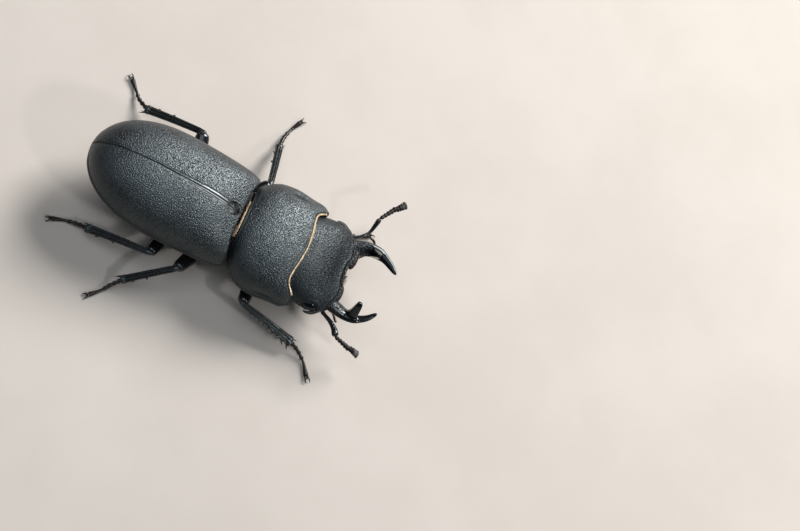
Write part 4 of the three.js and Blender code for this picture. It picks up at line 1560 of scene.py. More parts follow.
    def face_band(self) -> Piece:
        """The dark pitted band that lies in the sunken strip inside the front edge."""
        u = np.linspace(0.045, 0.455, 31)
        depth, row = 0.03, 0.905
        points = self.turned(self.capsule(u, np.full_like(u, row)) - depth * UP)
        ends = ((0, 0.05, 0.05), (0.02, 0.10, 0.08), (0.06, 0.14, 0.11))
        middle = [(share, 0.15, 0.11) for share in np.linspace(0.1, 0.9, 25)]
        stops = [*ends, *middle, *((1 - share, wide, deep) for share, wide, deep in reversed(ends))]
        return limb("face_band", Path.of(*points), stops, 10)

    def lip_plate(self, name: str, middle: Point, half: Point, narrow: float, notch: float) -> Piece:
        """A small rounded plate with a notched front edge.

        Args:
            name: Its name.
            middle: Its middle: side, station and height.
            half: Its half width, length and thickness.
            narrow: The front edge's width as a share of the back's.
            notch: How deep the front edge's notch is, mm.

        Returns:
            The finished piece.
        """
        deselect_all()
        (centre,) = self.spots([middle])
        bpy.ops.mesh.primitive_cube_add(size=2, location=tuple(centre), scale=half)
        lip = name_active(name)
        apply_transform()
        edit_mode()
        bpy.ops.mesh.subdivide(number_cuts=3)

        def in_front(centres: Array, normals: Array) -> Array:
            """True for the faces that look forward."""
            return normals[:, 1] < -0.9

        def in_notch(centres: Array, normals: Array) -> Array:
            """True for those of them near the middle."""
            return in_front(centres, normals) & (np.abs(centres[:, 0] - centre[0]) < 0.3 * half[0])

        select_faces(lip, in_front)
        edit_mode()
        bpy.ops.transform.resize(value=(narrow, 1, 0.8), center_override=tuple(centre))
        select_faces(lip, in_notch)
        edit_mode()
        bpy.ops.transform.translate(value=(0, notch, 0))
        bpy.ops.mesh.inset(thickness=0.04, depth=0.0)
        object_mode()
        return settle_piece(subdivide(lip))

    def jaw(self, side: Side) -> Piece:
        """A jaw: a broad pitted root with an outer flange, a blunt upright tooth and a blade."""
        line = Path.of(*self.spots((*self.jaw_line, self.jaw_tip[side]), side))
        length = line.length()
        rod = draw_rod(f"jaw_{side.word}", length, self.jaw_stops, 16)
        flat = rod_columns(length, self.jaw_stops, (45, 67.5, 90, 112.5, 135), 0.04, 0.40)
        sink_grooves(rod, flat, 0.06, 0.05)
        spread = tuple(90 + side.value * turn for turn in (-22.5, 0, 22.5, 45, 67.5))
        select_faces(rod, rod_columns(length, self.jaw_stops, spread, 0.44, 0.60))
        bend(rod, line, side.value * self.jaw_lean)
        tooth = self.spots([spot for spot, _ in self.jaw_tooth], side)
        grow_selected(rod, [(spot, size) for spot, (_, size) in zip(tooth, self.jaw_tooth)])
        return mark(settle_piece(subdivide(rod)), "edge", self.jaw_smoothness)

    def jaw_smoothness(self, points: Array) -> Array:
        """1 on a jaw's polished tooth and blade, 0 on its pitted root."""
        return smoothstep(-points[:, 1], *self.jaw_polish)

    def build(self, dresser: Dresser) -> None:
        """Makes the head and all that is fixed to it."""
        counts = (self.columns, self.rows)
        head = close_up(lay_grid("head_capsule", counts, self.surface, {"painted_shade": self.painted_shade_mark}))
        for side in Side:
            dresser.deliver(self.cheek_ridge(side), "ridge", "head", crease=ROUND_CREASE)
            dresser.deliver(self.face_lobe(side), "face", "head", crease=ROUND_CREASE)
            dresser.deliver(self.eye(side), "eye", f"eye_{side.word}", crease=ROUND_CREASE)
            dresser.deliver(self.jaw(side), "jaw", f"mandible_{side.word}")
        dresser.deliver(head, "head", "head", crease=SOFT_CREASE)
        dresser.deliver(self.face_band(), "face", "head", crease=ROUND_CREASE)
        lip = self.lip_plate("upper_lip", (-0.5, 24.26, 3.70), (0.80, 0.42, 0.28), 0.8, 0.14)
        dresser.deliver(lip, "limb", "labrum", slot="jaw")
        chin = self.lip_plate("chin_plate", (0, 23.15, 2.28), (1.5, 1.0, 0.34), 0.85, 0.05)
        dresser.deliver(chin, "underside", "mentum")


# ---- feelers and palps ------------------------------------------------------------------------


@dataclass(frozen=True)
class Feeler:
    """One elbowed feeler with its club of plates, and the palp of the same side."""

    side: Side
    base: Point
    bend: Point
    elbow: Point
    club: Point
    tip: Point
    palp_places: tuple[Point, ...]
    stem_radii: tuple[tuple[float, float], ...]
    bend_reach: float = 0.0  # how far from the bend its two extra places stand, as a share
    beads: int = 5
    bare_plates: int = 2
    velvet_plates: int = 2

    def stem(self) -> Piece:
        """The long first joint, slender at its root and swollen at the elbow."""
        base, turn, elbow = (np.array(spot) for spot in (self.base, self.bend, self.elbow))
        places = (base, turn, elbow)
        if self.bend_reach:
            near = (1 - self.bend_reach) * turn
            places = (base, near + self.bend_reach * base, turn, near + self.bend_reach * elbow, elbow)
        stops = [(share, radius, radius) for share, radius in self.stem_radii]
        return limb(f"feeler_stem_{self.side.word}", Path.along(*places), stops, 12)

    def bead_string(self) -> Piece:
        """The string of small beads beyond the elbow, each a little wider than the last."""
        bead = ((0.06, 0.6), (0.2, 0.78), (0.6, 1.1), (0.85, 1.12), (0.96, 0.7))
        stops = [(0.0, 0.10, 0.10)]
        for number in range(self.beads):
            size = 0.185 + 0.016 * number
            stops += [((number + share) / self.beads, size * wide, size * wide) for share, wide in bead]
        line = Path.along(self.elbow, self.club)
        return limb(f"feeler_beads_{self.side.word}", line, [*stops, (1.0, 0.13, 0.13)], 10)

    def plates(self, kind: str, first: int, last: int) -> Piece:
        """Some of the club's plates, standing out to its inner side.

        Args:
            kind: The word for them in the piece's name.
            first: Number of the first plate.
            last: Number past the last one.

        Returns:
            The plates in one piece.
        """
        root, tip = at(*self.club), at(*self.tip)
        length = float(np.linalg.norm(tip - root))
        forward = (tip - root) / length
        outward = 0.05 * unit(np.cross(forward, UP)) * self.side.value
        pitch = 0.86 * length / (self.bare_plates + self.velvet_plates)
        shape = ((0, 0.10, 0.10), (0.2, 0.27, 0.22), (0.5, 0.37, 0.27), (0.8, 0.36, 0.26), (1, 0.16, 0.14))
        pieces = []
        for number in range(first, last):
            size = 0.80 + 0.09 * number
            start = root + forward * pitch * number + outward
            line = Path.of(start, start + forward * 1.12 * pitch + outward)
            pieces.append(limb("plate", line, [(s, w * size, d * size) for s, w, d in shape], 12))
        return joined(f"feeler_{kind}_{self.side.word}", pieces)

    def palp(self) -> Piece:
        """A palp of three joints."""
        joint = ((0.03, 0.6), (0.3, 0.8), (0.7, 1.1), (0.93, 0.9))
        end, thick = 0.06, 0.135
        stops = [(0.0, end, end)]
        for number in range(3):
            stops += [((number + share) / 3, thick * wide, thick * wide) for share, wide in joint]
        line = Path.along(*self.palp_places)
        return limb(f"palp_joints_{self.side.word}", line, [*stops, (1.0, end, end)], 10)

    def build(self, dresser: Dresser) -> None:
        """Makes the feeler and the palp."""
        word, bare = self.side.word, self.bare_plates
        dresser.deliver(self.stem(), "limb", f"scape_{word}")
        dresser.deliver(self.bead_string(), "feeler", f"funicle_{word}")
        dresser.deliver(self.plates("plates", 0, bare), "feeler", f"club_{word}")
        dresser.deliver(self.plates("velvet", bare, bare + self.velvet_plates), "club", f"club_{word}")
        dresser.deliver(self.palp(), "claw", f"palp_{word}", slot="feeler")


FEELERS = (
    Feeler(
        Side.LEFT,
        base=(3.95, 23.9, 3.3), bend=(5.15, 25.05, 3.35), elbow=(6.45, 25.25, 4.2),
        club=(8.2, 26.25, 3.6), tip=(9.3, 27.05, 3.3),
        palp_places=(
            (2.05, 24.1, 2.4), (3.3, 25.45, 2.3), (4.5, 26.1, 2.55), (4.95, 25.75, 2.75),
            (4.95, 25.3, 2.85),
        ),
        stem_radii=(
            (0, 0.08), (0.05, 0.15), (0.12, 0.11), (0.40, 0.11), (0.5, 0.17), (0.74, 0.20),
            (0.88, 0.24), (0.95, 0.24), (1, 0.12),
        ),
        bend_reach=0.15,
    ),
    Feeler(
        Side.RIGHT,
        base=(-3.45, 23.95, 3.3), bend=(-4.3, 25.3, 3.7), elbow=(-5.15, 25.85, 3.8),
        club=(-5.2, 27.5, 2.75), tip=(-5.3, 28.6, 2.3),
        palp_places=((-1.75, 23.7, 2.45), (-2.5, 24.8, 2.25), (-3.45, 25.6, 2.45)),
        stem_radii=(
            (0, 0.12), (0.04, 0.22), (0.10, 0.18), (0.18, 0.17), (0.45, 0.22), (0.74, 0.27),
            (0.88, 0.34), (0.95, 0.31), (1, 0.14),
        ),
    ),
)


# ---- legs -------------------------------------------------------------------------------------


@dataclass(frozen=True)
class LegShape:
    """The sizes that differ between the three pairs of legs, in millimetres.

    The teeth are (share of the shin's length, tooth's length), and the spurs are (length,
    thickness, height above the shin's middle line).
    """

    hip_half: float
    hip_shift: float
    ankle_half: float
    teeth: tuple[tuple[float, float], ...]
    spurs: tuple[Point, ...]


SHORT_TEETH = ((0.55, 0.15), (0.80, 0.12))
LONG_TEETH = (
    (0.22, 0.08), (0.30, 0.09), (0.38, 0.11), (0.46, 0.13), (0.55, 0.15), (0.64, 0.17),
    (0.74, 0.20), (0.85, 0.30), (0.95, 0.34),
)
TWO_SPURS = ((0.80, 0.075, -0.16), (0.55, 0.065, 0.10))
LEG_SHAPES = {
    Pair.FRONT: LegShape(0.96, -0.1, 0.48, LONG_TEETH, ((0.75, 0.085, -0.10),)),
    Pair.MIDDLE: LegShape(0.96, -0.1, 0.37, SHORT_TEETH, TWO_SPURS),
    Pair.HIND: LegShape(1.45, 0.35, 0.42, SHORT_TEETH, TWO_SPURS),
}


@dataclass(frozen=True)
class Leg:
    """One leg: hip, thigh, shin with its teeth and spurs, jointed foot and claws."""

    pair: Pair
    side: Side
    hip: Point
    knee: Point
    ankle: Point
    foot: tuple[Point, ...]
    toe: tuple[float, float]
    stout: float = 0.9
    short_share: float = 0.56  # share of the foot's length that the short joints take
    short_joints: int = 4
    ring_share: float = 0.18  # share of the thigh's length that its root's ring takes
    thigh_stops: tuple[Stop, ...] = (
        (0.0, 0.25, 0.22), (0.03, 0.42, 0.36), (0.12, 0.46, 0.39), (0.155, 0.36, 0.32),
        (0.20, 0.50, 0.42), (0.38, 0.70, 0.54), (0.60, 0.74, 0.55), (0.78, 0.68, 0.52),
        (0.88, 0.66, 0.53), (0.95, 0.60, 0.50), (0.985, 0.46, 0.40), (1.0, 0.28, 0.24),
    )
    hip_stops: tuple[Stop, ...] = (
        (0, 0.24, 0.24), (0.06, 0.48, 0.46), (0.3, 0.72, 0.68), (0.6, 0.74, 0.70),
        (0.86, 0.60, 0.58), (0.96, 0.42, 0.40), (1, 0.2, 0.2),
    )

    @property
    def name(self) -> str:
        """The leg's name as the nodes spell it."""
        return f"{self.pair.value}_{self.side.word}"

    @property
    def shape(self) -> LegShape:
        """The sizes of its pair."""
        return LEG_SHAPES[self.pair]

    def edge_sign(self) -> int:
        """Whether the shin's toothed edge is on its line's left, 1, or right, -1."""
        along = at(*self.ankle) - at(*self.knee)
        outer = np.array([self.side.value, 0.0, 0.0])
        wanted = np.array([0.0, 1.0, 0.0]) if self.name == "middle_left" else outer
        return 1 if np.cross(UP, along) @ wanted > 0 else -1

    def hip_piece(self) -> Piece:
        """The hip: a barrel lying across the underside."""
        centre = at(*self.hip) + np.array([self.side.value * self.shape.hip_shift, 0.0, 0.12])
        half = np.array([self.side.value * self.shape.hip_half, 0, 0])
        return limb(f"hip_{self.name}", Path.of(centre - half, centre + half), self.hip_stops, 14)

    def thigh(self) -> Piece:
        """The thigh with the small ring at its root and a furrow under its knee end."""
        hip, knee = at(*self.hip), at(*self.knee)
        start = hip + 0.25 * unit(knee - hip)
        line = Path.of(start, 0.5 * (start + knee) - 0.12 * UP, knee)
        length = line.length()
        stops = []
        for share, wide, deep in self.thigh_stops:
            fat = 1 if share < self.ring_share else self.stout
            stops.append((share, wide * fat, deep * fat))
        rod = draw_rod(f"thigh_{self.name}", length, stops, 16)
        sink_grooves(rod, rod_columns(length, stops, (270,), 0.45, 0.99), 0.02, 0.08)
        return settle_piece(subdivide(bend(rod, line)))

    def shin_line(self) -> Path:
        """The middle line of the shin, with a slight arch."""
        knee, ankle = at(*self.knee), at(*self.ankle)
        start = knee - 0.05 * (ankle - knee)
        return Path.of(start, 0.5 * (start + ankle) + 0.1 * UP, ankle)

    def shin_stops(self) -> list[Stop]:
        """The shin's rings, from the slender knee end to the flared ankle."""
        neck, end = 0.30, self.shape.ankle_half
        stops = [(0.0, 0.14, 0.14), (0.025, 0.23, 0.22), (0.06, 0.26, 0.25)]
        for share in np.linspace(0.10, 0.90, 19).tolist():
            stops.append((share, neck + (end - neck) * share**1.3, 0.26 + 0.03 * share))
        flare = ((0.935, end + 0.01, 0.30), (0.97, end + 0.04, 0.33), (0.99, end, 0.30))
        return [*stops, *flare, (1.0, 0.7 * end, 0.2)]

    def shin(self) -> Piece:
        """The shin: furrowed lengthwise, with teeth along its outer edge and spurs at its end."""
        line, stops, sign = self.shin_line(), self.shin_stops(), self.edge_sign()
        length = line.length()
        rod = draw_rod(f"shin_{self.name}", length, stops, 16)
        for angle in (45, 90, 135, 225, 270, 315):
            sink_grooves(rod, rod_columns(length, stops, (angle,), 0.09, 0.95), 0.01, 0.14)
        shares, wides, _ = np.array(stops).T
        out, ahead = np.array([0.0, sign, 0.0]), np.array([1.0, 0.0, 0.0])
        growth = ((0.40, 0.15, 0.95), (0.80, 0.45, 0.62), (1.05, 0.75, 0.35))
        for share, long in self.shape.teeth:
            root = np.array([share * length, sign * float(np.interp(share, shares, wides)), 0.0])
            select_faces(rod, nearest_face(root))
            spots = [(root + long * (far * out + lean * ahead), size) for far, lean, size in growth]
            grow_selected(rod, spots)
        shaft = settle_piece(subdivide(bend(rod, line)))
        return joined(f"shin_{self.name}", [shaft, *self.spurs(line, sign)])

    def spurs(self, line: Path, sign: int) -> list[Piece]:
        """The one or two movable spurs at the inner end of the shin."""
        (centre,), (forward,) = line.at(np.array([0.955]))
        inner = -sign * unit(np.cross(UP, forward))
        shape = ((0, 0.8), (0.08, 1), (0.4, 0.85), (0.75, 0.55), (0.95, 0.25), (1, 0.1))
        lowest = 0.08
        pieces = []
        for long, thick, lift in self.shape.spurs:
            root = centre + 0.22 * inner + UP * lift
            reach = unit(forward + 0.35 * inner + UP * 0.3 * lift)
            middle = root + 0.5 * long * reach + 0.04 * inner
            tip = root + long * reach
            tip[2] = max(tip[2], lowest)
            stops = [(share, size * thick, size * thick) for share, size in shape]
            pieces.append(limb("spur", Path.of(root, middle, tip), stops, 8))
        return pieces

    def foot_line(self) -> Path:
        """The middle line of the foot."""
        ankle = at(*self.ankle)
        start = ankle + 0.035 * (at(*self.knee) - ankle)
        return Path.of(start, *(at(*spot) for spot in self.foot))

    def foot_piece(self) -> Piece:
        """The foot: four short cupped joints and a long one that swells to the claws."""
        joint = ((0.02, 0.58), (0.15, 0.66), (0.55, 0.86), (0.84, 1.08), (0.94, 1.0), (0.99, 0.6))
        last = ((0.03, 0.11), (0.12, 0.13), (0.45, 0.15), (0.75, 0.20), (0.92, 0.24), (0.98, 0.21))
        flatness = 0.92
        short, count = self.short_share, self.short_joints
        stops = [(0.0, 0.09, 0.09)]
        for number in range(count):
            size = 0.225 - 0.008 * number
            for share, wide in joint:
                stops.append((short * (number + share) / count, size * wide, flatness * size * wide))
        for share, wide in (*last, (1.0, 0.11)):
            stops.append((short + (1 - short) * share, wide, flatness * wide))
        return limb(f"foot_joints_{self.name}", self.foot_line(), stops, 10)

    def claws(self) -> Piece:
        """The pair of curved claws and the small pad between them."""
        end = at(*self.foot[-1])
        reach = unit(at(*self.toe, end[2]) - end)
        across = np.array([-reach[1], reach[0], 0.0])
        claw = ((0, 0.8), (0.1, 1.0), (0.4, 0.75), (0.75, 0.45), (0.95, 0.22), (1, 0.1))
        stops = [(share, 0.105 * size, 0.125 * size) for share, size in claw]
        pieces = []
        for way in (1, -1):
            root = end - 0.08 * reach + 0.06 * way * across
            rise = end + 0.22 * reach + 0.15 * way * across + UP * 0.13
            fall = end + 0.42 * reach + 0.23 * way * across + UP * 0.08
            tip = end + 0.54 * reach + 0.18 * way * across
            tip[2] = 0.05
            pieces.append(limb("claw", Path.of(root, rise, fall, tip), stops, 8))
        pad_stops = ((0, 0.06, 0.06), (0.5, 0.07, 0.06), (0.9, 0.05, 0.04), (1, 0.02, 0.02))
        pieces.append(limb("pad", Path.of(end, end + 0.28 * reach + UP * 0.02), pad_stops, 8))
        return joined(f"claws_{self.name}", pieces)

    def build(self, dresser: Dresser) -> None:
        """Makes the leg's pieces."""
        dresser.deliver(self.hip_piece(), "limb", f"coxa_{self.name}")
        dresser.deliver(self.thigh(), "limb", f"femur_{self.name}")
        dresser.deliver(self.shin(), "shin", f"tibia_{self.name}")
        dresser.deliver(self.foot_piece(), "foot", f"tarsus_{self.name}")
        dresser.deliver(self.claws(), "claw")


LEGS = (
    Leg(
        Pair.FRONT,
        Side.LEFT,
        hip=(1.35, 17.3, 2.0), knee=(4.95, 17.5, 2.7), ankle=(4.85, 23.0, 1.0),
        foot=((5.3, 23.9, 0.5), (5.7, 24.8, 0.24), (6.25, 25.55, 0.2)), toe=(6.2, 26.35),
    ),
    Leg(
        Pair.MIDDLE,
        Side.LEFT,
        hip=(1.75, 12.75, 1.85), knee=(5.1, 15.35, 3.0), ankle=(9.7, 14.85, 1.0),
        foot=((10.9, 14.95, 0.5), (12.1, 15.3, 0.22), (13.05, 15.75, 0.2)), toe=(13.65, 16.2),
    ),
    Leg(
        Pair.HIND,
        Side.LEFT,
        hip=(1.6, 9.35, 1.8), knee=(6.4, 8.15, 3.45), ankle=(7.0, 2.85, 1.0),
        foot=((7.75, 2.0, 0.5), (8.65, 1.3, 0.22), (9.3, 0.7, 0.2)), toe=(9.8, 0.05), stout=1.0,
    ),
    Leg(
        Pair.FRONT,
        Side.RIGHT,
        hip=(-1.35, 17.3, 2.0), knee=(-5.9, 17.5, 2.95), ankle=(-6.38, 22.95, 1.0),
        foot=((-6.62, 23.8, 0.5), (-7.3, 24.75, 0.22), (-8.3, 25.45, 0.2)), toe=(-9.2, 26.15),
    ),
    Leg(
        Pair.MIDDLE,
        Side.RIGHT,
        hip=(-1.75, 12.75, 1.85), knee=(-5.85, 11.1, 3.3), ankle=(-8.2, 7.4, 1.0),
        foot=((-8.8, 6.85, 0.5), (-9.7, 6.2, 0.22), (-10.4, 5.5, 0.2)), toe=(-11.05, 4.85),
    ),
    Leg(
        Pair.HIND,
        Side.RIGHT,
        hip=(-1.6, 9.35, 1.8), knee=(-5.6, 8.45, 3.1), ankle=(-5.38, 2.75, 1.0),
        foot=((-5.25, 1.85, 0.5), (-5.4, 0.8, 0.22), (-5.75, -0.15, 0.2)), toe=(-6.3, -1.15),
    ),
)


# ---- bristles ---------------------------------------------------------------------------------


def bristle_pattern() -> tuple[Array, list[tuple[int, ...]]]:
    """Models one bristle from a cone primitive: its corners and faces, of length 1."""
    shaft = 0.55  # share of the length below the point
    deselect_all()
    bpy.ops.mesh.primitive_cone_add(vertices=3, radius1=1, radius2=0.75, depth=shaft, end_fill_type="NGON")
    piece = name_active("bristle_pattern")
    edit_mode()
    bpy.ops.transform.translate(value=(0, 0, 0.5 * shaft))
    select_faces(piece, facing_up)
    edit_mode()
    bpy.ops.mesh.extrude_region_move(TRANSFORM_OT_translate={"value": (0, 0, 1 - shaft)})
    bpy.ops.mesh.merge(type="CENTER")
    bpy.ops.mesh.select_all(action="SELECT")
    bpy.ops.mesh.normals_make_consistent(inside=False)
    object_mode()
    corners = read_vectors(piece.data.vertices, "co")
    faces = [tuple(face.vertices) for face in piece.data.polygons]
    bpy.data.meshes.remove(piece.data)
    return corners, faces


def grow_bristles(
    name: str, thick: float, roots: Array, ways: Array, lengths: Array, unwrap: Array
) -> Piece:
    """Makes one mesh of bristles, each a copy of one thin cone that sags a little.

    Args:
        name: The piece's name.
        thick: A bristle's half thickness at its root, mm.
        roots: Where they grow, mm.
        ways: Their directions, of any length.
        lengths: Their lengths, mm.
        unwrap: Each root's place on the skin's own unwrap, 0 to 1.

    Returns:
        The new piece.
    """
    patch, sagging = 0.003, 0.18
    pattern, pattern_faces = bristle_pattern()
    size = len(pattern)
    ways = unit(ways)
    helper = np.where(np.abs(ways[:, 2:3]) < 0.9, UP, np.array([1.0, 0.0, 0.0]))
    first = unit(np.cross(ways, helper))
    second = np.cross(ways, first)
    across = pattern[None, :, 0:1] * first[:, None] + pattern[None, :, 1:2] * second[:, None]
    along = pattern[None, :, 2:3] * ways[:, None] * lengths[:, None, None]
    sag = -sagging * pattern[None, :, 2:3] ** 2 * lengths[:, None, None] * UP
    corners = roots[:, None] + thick * across + along + sag
    starts = range(0, size * len(roots), size)
    faces = [tuple(start + corner for corner in face) for start in starts for face in pattern_faces]
    mesh = bpy.data.meshes.new(name)
    mesh.from_pydata(BODY.settle(corners.reshape(-1, 3)).tolist(), [], faces)
    layer = mesh.uv_layers.new(name="OFBake")
    corner_of = np.empty(len(mesh.loops), int)
    mesh.loops.foreach_get("vertex_index", corner_of)
    spread = 0.5 + 0.5 * pattern[:, :2] * (1 - 0.5 * pattern[:, 2:3])
    uv = unwrap[corner_of // size] * (1 - 2 * patch) + spread[corner_of % size] * patch
    layer.data.foreach_set("uv", uv.ravel())
    piece = bpy.data.objects.new(name, mesh)
    bpy.context.scene.collection.objects.link(piece)
    return piece


@dataclass
class Fringes:
    """The golden fringes at the pronotum's edges, and the darker bristles elsewhere."""

    pronotum: Pronotum
    trunk: Trunk
    head: Head
    seed: int = 7
    front_count: int = 4400
    front_side: tuple[float, float] = (-4.1, 4.05)
    gap_count: int = 900
    gap_station: float = 14.18
    neck_count: int = 900
    tuft_count: int = 220
    tuft_side: tuple[float, float] = (-2.1, -1.15)
    shin_count: int = 60
    joint_count: int = 12
    lip_count: int = 160

    def pronotum_front(self, rng: np.random.Generator) -> Piece:
        """The dense fringe that lies forward over the head."""
        u = rng.uniform(0.155, 0.845, self.front_count)
        v = 0.997 - 0.004 * rng.random(self.front_count)
        roots = self.pronotum.surface()(u, v)
        low, high = self.front_side
        kept = (roots[:, 0] < high) & (roots[:, 0] > low)
        u, v, roots = u[kept], v[kept], roots[kept]
        count = len(u)
        roots[:, 2] -= 0.02 + 0.05 * rng.random(count)
        edge, inside = (self.pronotum.sheet(u, np.full(count, row)) for row in (1.0, 0.985))
        ways = unit(edge - inside) + 0.10 * rng.standard_normal((count, 3))
        ways[:, 2] -= 0.10 * rng.random(count)
        lengths = rng.uniform(0.13, 0.19, count) * (1 + 0.7 * hump(roots[:, 0], 1.6, 0.8))
        return grow_bristles("fringe_front", 0.011, roots, ways, lengths, rows(u, v))

    def gap_height(self, side: Array) -> Array:
        """The height of the pronotum's hind edge, by how far a place is from the middle."""
        return np.interp(np.abs(side), (0, 1, 2), (6.58, 6.54, 6.36))

    def pronotum_back(self, rng: np.random.Generator) -> Piece:
        """The short strip of fringe in the gap behind the pronotum."""
        count = self.gap_count
        side = -0.3 + 1.5 * np.clip(rng.standard_normal(count) * 0.62, -1.0, 1.1)
        deep = rng.random(count)
        roots = rows(side, -self.gap_station + 0.05 * deep, self.gap_height(side) - 0.06 - 0.10 * deep)
        sideways = 0.25 + 0.20 * rng.standard_normal(count)
        ways = rows(sideways, np.ones(count), 0.05 - 0.35 * rng.random(count))
        lengths = rng.uniform(0.05, 0.14, count)
        unwrap = rows(0.5 + side / 8, 0.02 + 0.1 * deep)
        return grow_bristles("fringe_back", 0.012, roots, ways, lengths, unwrap)

    def neck_down(self, rng: np.random.Generator) -> Piece:
        """Short brownish down on the neck ring."""
        count = self.neck_count
        side, station = rng.uniform(-2.2, 1.4, count), rng.uniform(13.75, 14.2, count)
        roots = rows(side, -station, self.trunk.neck_top(side))
        ways = rows(0.3 * rng.standard_normal(count), 0.4 + 0.4 * rng.random(count), np.ones(count))
        unwrap = rows(0.5 + side / 8, 0.3 + 0.3 * (station - 13.7))
        return grow_bristles("neck_down", 0.013, roots, ways, rng.uniform(0.2, 0.42, count), unwrap)

    def hind_tuft(self, rng: np.random.Generator) -> Piece:
        """The brown tuft at the right end of the gap, lying back over the wing case's edge."""
        count = self.tuft_count
        side, deep = rng.uniform(*self.tuft_side, count), rng.random(count)
        height = self.gap_height(side) - 0.10 - 0.06 * deep
        roots = rows(side, 0.02 - self.gap_station + 0.08 * deep, height)
        ways = rows(0.3 * rng.standard_normal(count), np.ones(count), 0.25 * rng.random(count) + 0.05)
        unwrap = rows(0.5 + side / 8, 0.14 + 0.1 * deep)
        return grow_bristles("hind_tuft", 0.012, roots, ways, rng.uniform(0.12, 0.36, count), unwrap)

    def leg_bristles(self, rng: np.random.Generator) -> Piece:
        """Short stiff bristles on the shins' inner edges and at the foot joints."""
        count = self.shin_count
        tufts = []
        for number, leg in enumerate(LEGS):
            centre, forward = leg.shin_line().at(rng.uniform(0.2, 0.93, count))
            inner = -leg.edge_sign() * unit(np.cross(UP, forward))
            lift = rng.uniform(-0.15, 0.15, count)
            roots = centre + 0.24 * inner + UP * lift[:, None]
            ways = unit(forward + inner * 0.7 + 0.2 * rng.standard_normal((count, 3)))
            lengths = rng.uniform(0.12, 0.24, count)
            unwrap = rows((number + 0.3 + lift) / len(LEGS), rng.uniform(0.0, 0.5, count))
            tufts.append((roots, ways, lengths, unwrap))
            joints = leg.short_share * (np.arange(leg.short_joints) + 0.85) / leg.short_joints
            joints = np.repeat(joints, self.joint_count)
            centre, forward = leg.foot_line().at(joints)
            around = rng.uniform(0, 2 * math.pi, len(joints))
            beside = unit(np.cross(forward, UP))
            spoke = beside * np.cos(around)[:, None] - UP * np.abs(np.sin(around))[:, None]
            lengths = rng.uniform(0.14, 0.26, len(joints))
            unwrap = rows((number + around / 7) / len(LEGS), 0.5 + joints * 0.5)
            tufts.append((centre + spoke * 0.13, unit(forward + spoke * 0.8), lengths, unwrap))
        roots, ways, lengths, unwrap = (np.concatenate(parts) for parts in zip(*tufts))
        roots[:, 2] = np.maximum(roots[:, 2], 0.06)
        ways[roots[:, 2] + ways[:, 2] * lengths < 0.08, 2] = 0.12
        return grow_bristles("leg_bristles", 0.014, roots, ways, lengths, unwrap)

    def mouth_bristles(self, rng: np.random.Generator) -> Piece:
        """Brown bristles on the upper lip's edge."""
        count = self.lip_count
        share = rng.uniform(-1, 1, count)
        ahead = 24.50 + 0.06 * rng.random(count)
        roots = self.head.turned(rows(0.8 * share - 0.6, -ahead, 3.66 + 0.16 * rng.random(count)))
        ways = rows(0.35 * share, -np.ones(count), -0.1 - 0.3 * rng.random(count))
        ways[:, 0] += 0.1 * rng.standard_normal(count)
        lengths = rng.uniform(0.18, 0.36, count)
        unwrap = rows(0.5 + 0.45 * share, rng.random(count))
        return grow_bristles("mouth_bristles", 0.012, roots, ways, lengths, unwrap)

    def build(self, dresser: Dresser) -> None:
        """Makes every fringe, in the order of their random draws."""
        rng = np.random.default_rng(self.seed)
        sets = (
            (self.pronotum_front, "golden"), (self.pronotum_back, "golden"),
            (self.neck_down, "brown"), (self.leg_bristles, "brown"), (self.mouth_bristles, "brown"),
            (self.hind_tuft, "brown"),
        )
        for grow, look in sets:
            dresser.deliver(grow(rng), look, crease=FLAT)


# ---- studio -----------------------------------------------------------------------------------


@dataclass(frozen=True)
class Lamp:
    """One square soft lamp that faces the beetle: place in mm, side in m, power in W."""

    name: str
    place: Point
    size: float
    power: float
    colour: Colour


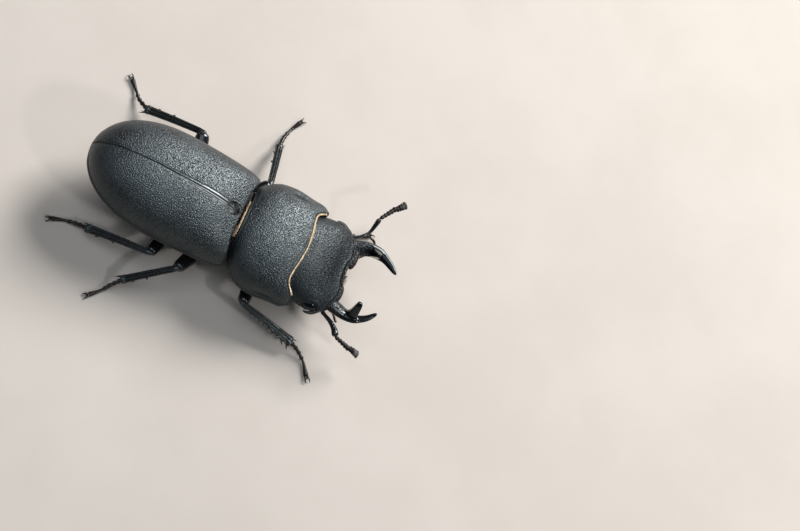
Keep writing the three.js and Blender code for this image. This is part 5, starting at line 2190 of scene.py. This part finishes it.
@dataclass
class Studio:
    """The pale floor, the soft lamps and the camera."""

    azimuth: float = 248.131  # degrees, as the next two
    elevation: float = 65.277
    roll: float = 47.026
    eye_place: Point = (-71.91, 1.70, 180.28)
    lens: float = 100.0
    floor_size: float = 1.6
    floor_patch: float = 0.02
    floor_tones: tuple[Colour, Colour] = ((0.44, 0.40, 0.365), (0.47, 0.43, 0.395))
    surroundings: float = 0.085
    sky: Colour = (0.86, 0.92, 1.0)
    aim: Point = (0.0, 14.0, 4.0)
    lamps: tuple[Lamp, ...] = (
        Lamp("key_lamp", (257.0, -154.0, 232.0), 0.17, 2.65, (1.0, 0.98, 0.95)),
        Lamp("top_lamp", (-40.0, 60.0, 380.0), 0.30, 0.55, (0.86, 0.94, 1.0)),
        Lamp("glint_lamp", (-100.0, -253.0, 239.0), 0.03, 0.24, (1.0, 1.0, 1.0)),
    )

    def axes(self) -> tuple[Vector, Vector, Vector]:
        """The camera's right, up and backward directions."""
        a, e, r = (math.radians(angle) for angle in (self.azimuth, self.elevation, self.roll))
        back = Vector((math.sin(a) * math.cos(e), -math.cos(a) * math.cos(e), math.sin(e)))
        level = Vector((0, 0, 1)).cross(back).normalized()
        rise = back.cross(level)
        return math.cos(r) * level + math.sin(r) * rise, math.cos(r) * rise - math.sin(r) * level, back

    def place_camera(self) -> None:
        """Makes the camera."""
        data = bpy.data.cameras.new("camera")
        data.lens = self.lens
        data.sensor_width = 36.0
        data.clip_start = 0.005
        camera = bpy.data.objects.new("camera", data)
        bpy.context.scene.collection.objects.link(camera)
        place = Vector(BODY.settle(np.array(self.eye_place)))
        camera.matrix_world = Matrix.Translation(place) @ Matrix(self.axes()).transposed().to_4x4()
        bpy.context.scene.camera = camera

    def lay_floor(self) -> None:
        """Makes the floor: one wide pale sheet with a faint unevenness of tone."""
        deselect_all()
        bpy.ops.mesh.primitive_grid_add(x_subdivisions=8, y_subdivisions=8, size=self.floor_size)
        floor = name_active("studio_floor")
        material, weave, shader = begin_material("pale_floor")
        mottle = weave.mottle(weave.object_space(), self.floor_patch)
        weave.feed(shader, {"Base Color": weave.blend(mottle, *self.floor_tones), "Roughness": 0.8})
        floor.data.materials.append(material)

    def hang(self, lamp: Lamp) -> None:
        """Hangs one lamp."""
        data = bpy.data.lights.new(lamp.name, "AREA")
        data.shape = "SQUARE"
        data.size = lamp.size
        data.energy = lamp.power
        data.color = lamp.colour
        hung = bpy.data.objects.new(lamp.name, data)
        bpy.context.scene.collection.objects.link(hung)
        spot, target = (Vector(BODY.settle(place)) for place in (np.array(lamp.place), at(*self.aim)))
        turn = (spot - target).to_track_quat("Z", "Y").to_matrix().to_4x4()
        hung.matrix_world = Matrix.Translation(spot) @ turn

    def light(self) -> None:
        """Hangs the lamps and lights the surroundings evenly."""
        for lamp in self.lamps:
            self.hang(lamp)
        world = bpy.data.worlds.new("surroundings")
        world.use_nodes = True
        background = world.node_tree.nodes["Background"]
        background.inputs["Color"].default_value = (*self.sky, 1.0)
        background.inputs["Strength"].default_value = self.surroundings
        bpy.context.scene.world = world
        bpy.context.scene.view_settings.view_transform = "Standard"

    def build(self) -> None:
        """Sets the whole studio up."""
        self.lay_floor()
        self.light()
        self.place_camera()


# ---- the model --------------------------------------------------------------------------------


def main() -> None:
    """Builds the beetle and its studio."""
    logging.basicConfig(level=logging.INFO, format="%(name)s: %(message)s")
    Studio().build()
    dresser = Dresser({look: finish.build() for look, finish in FINISHES.items()})
    wings, pronotum, head = WingCases(), Pronotum(), Head()
    trunk = Trunk(wings, pronotum)
    for part in (wings, trunk, pronotum, head, *FEELERS, *LEGS, Fringes(pronotum, trunk, head)):
        part.build(dresser)


if __name__ == "__main__":
    main()
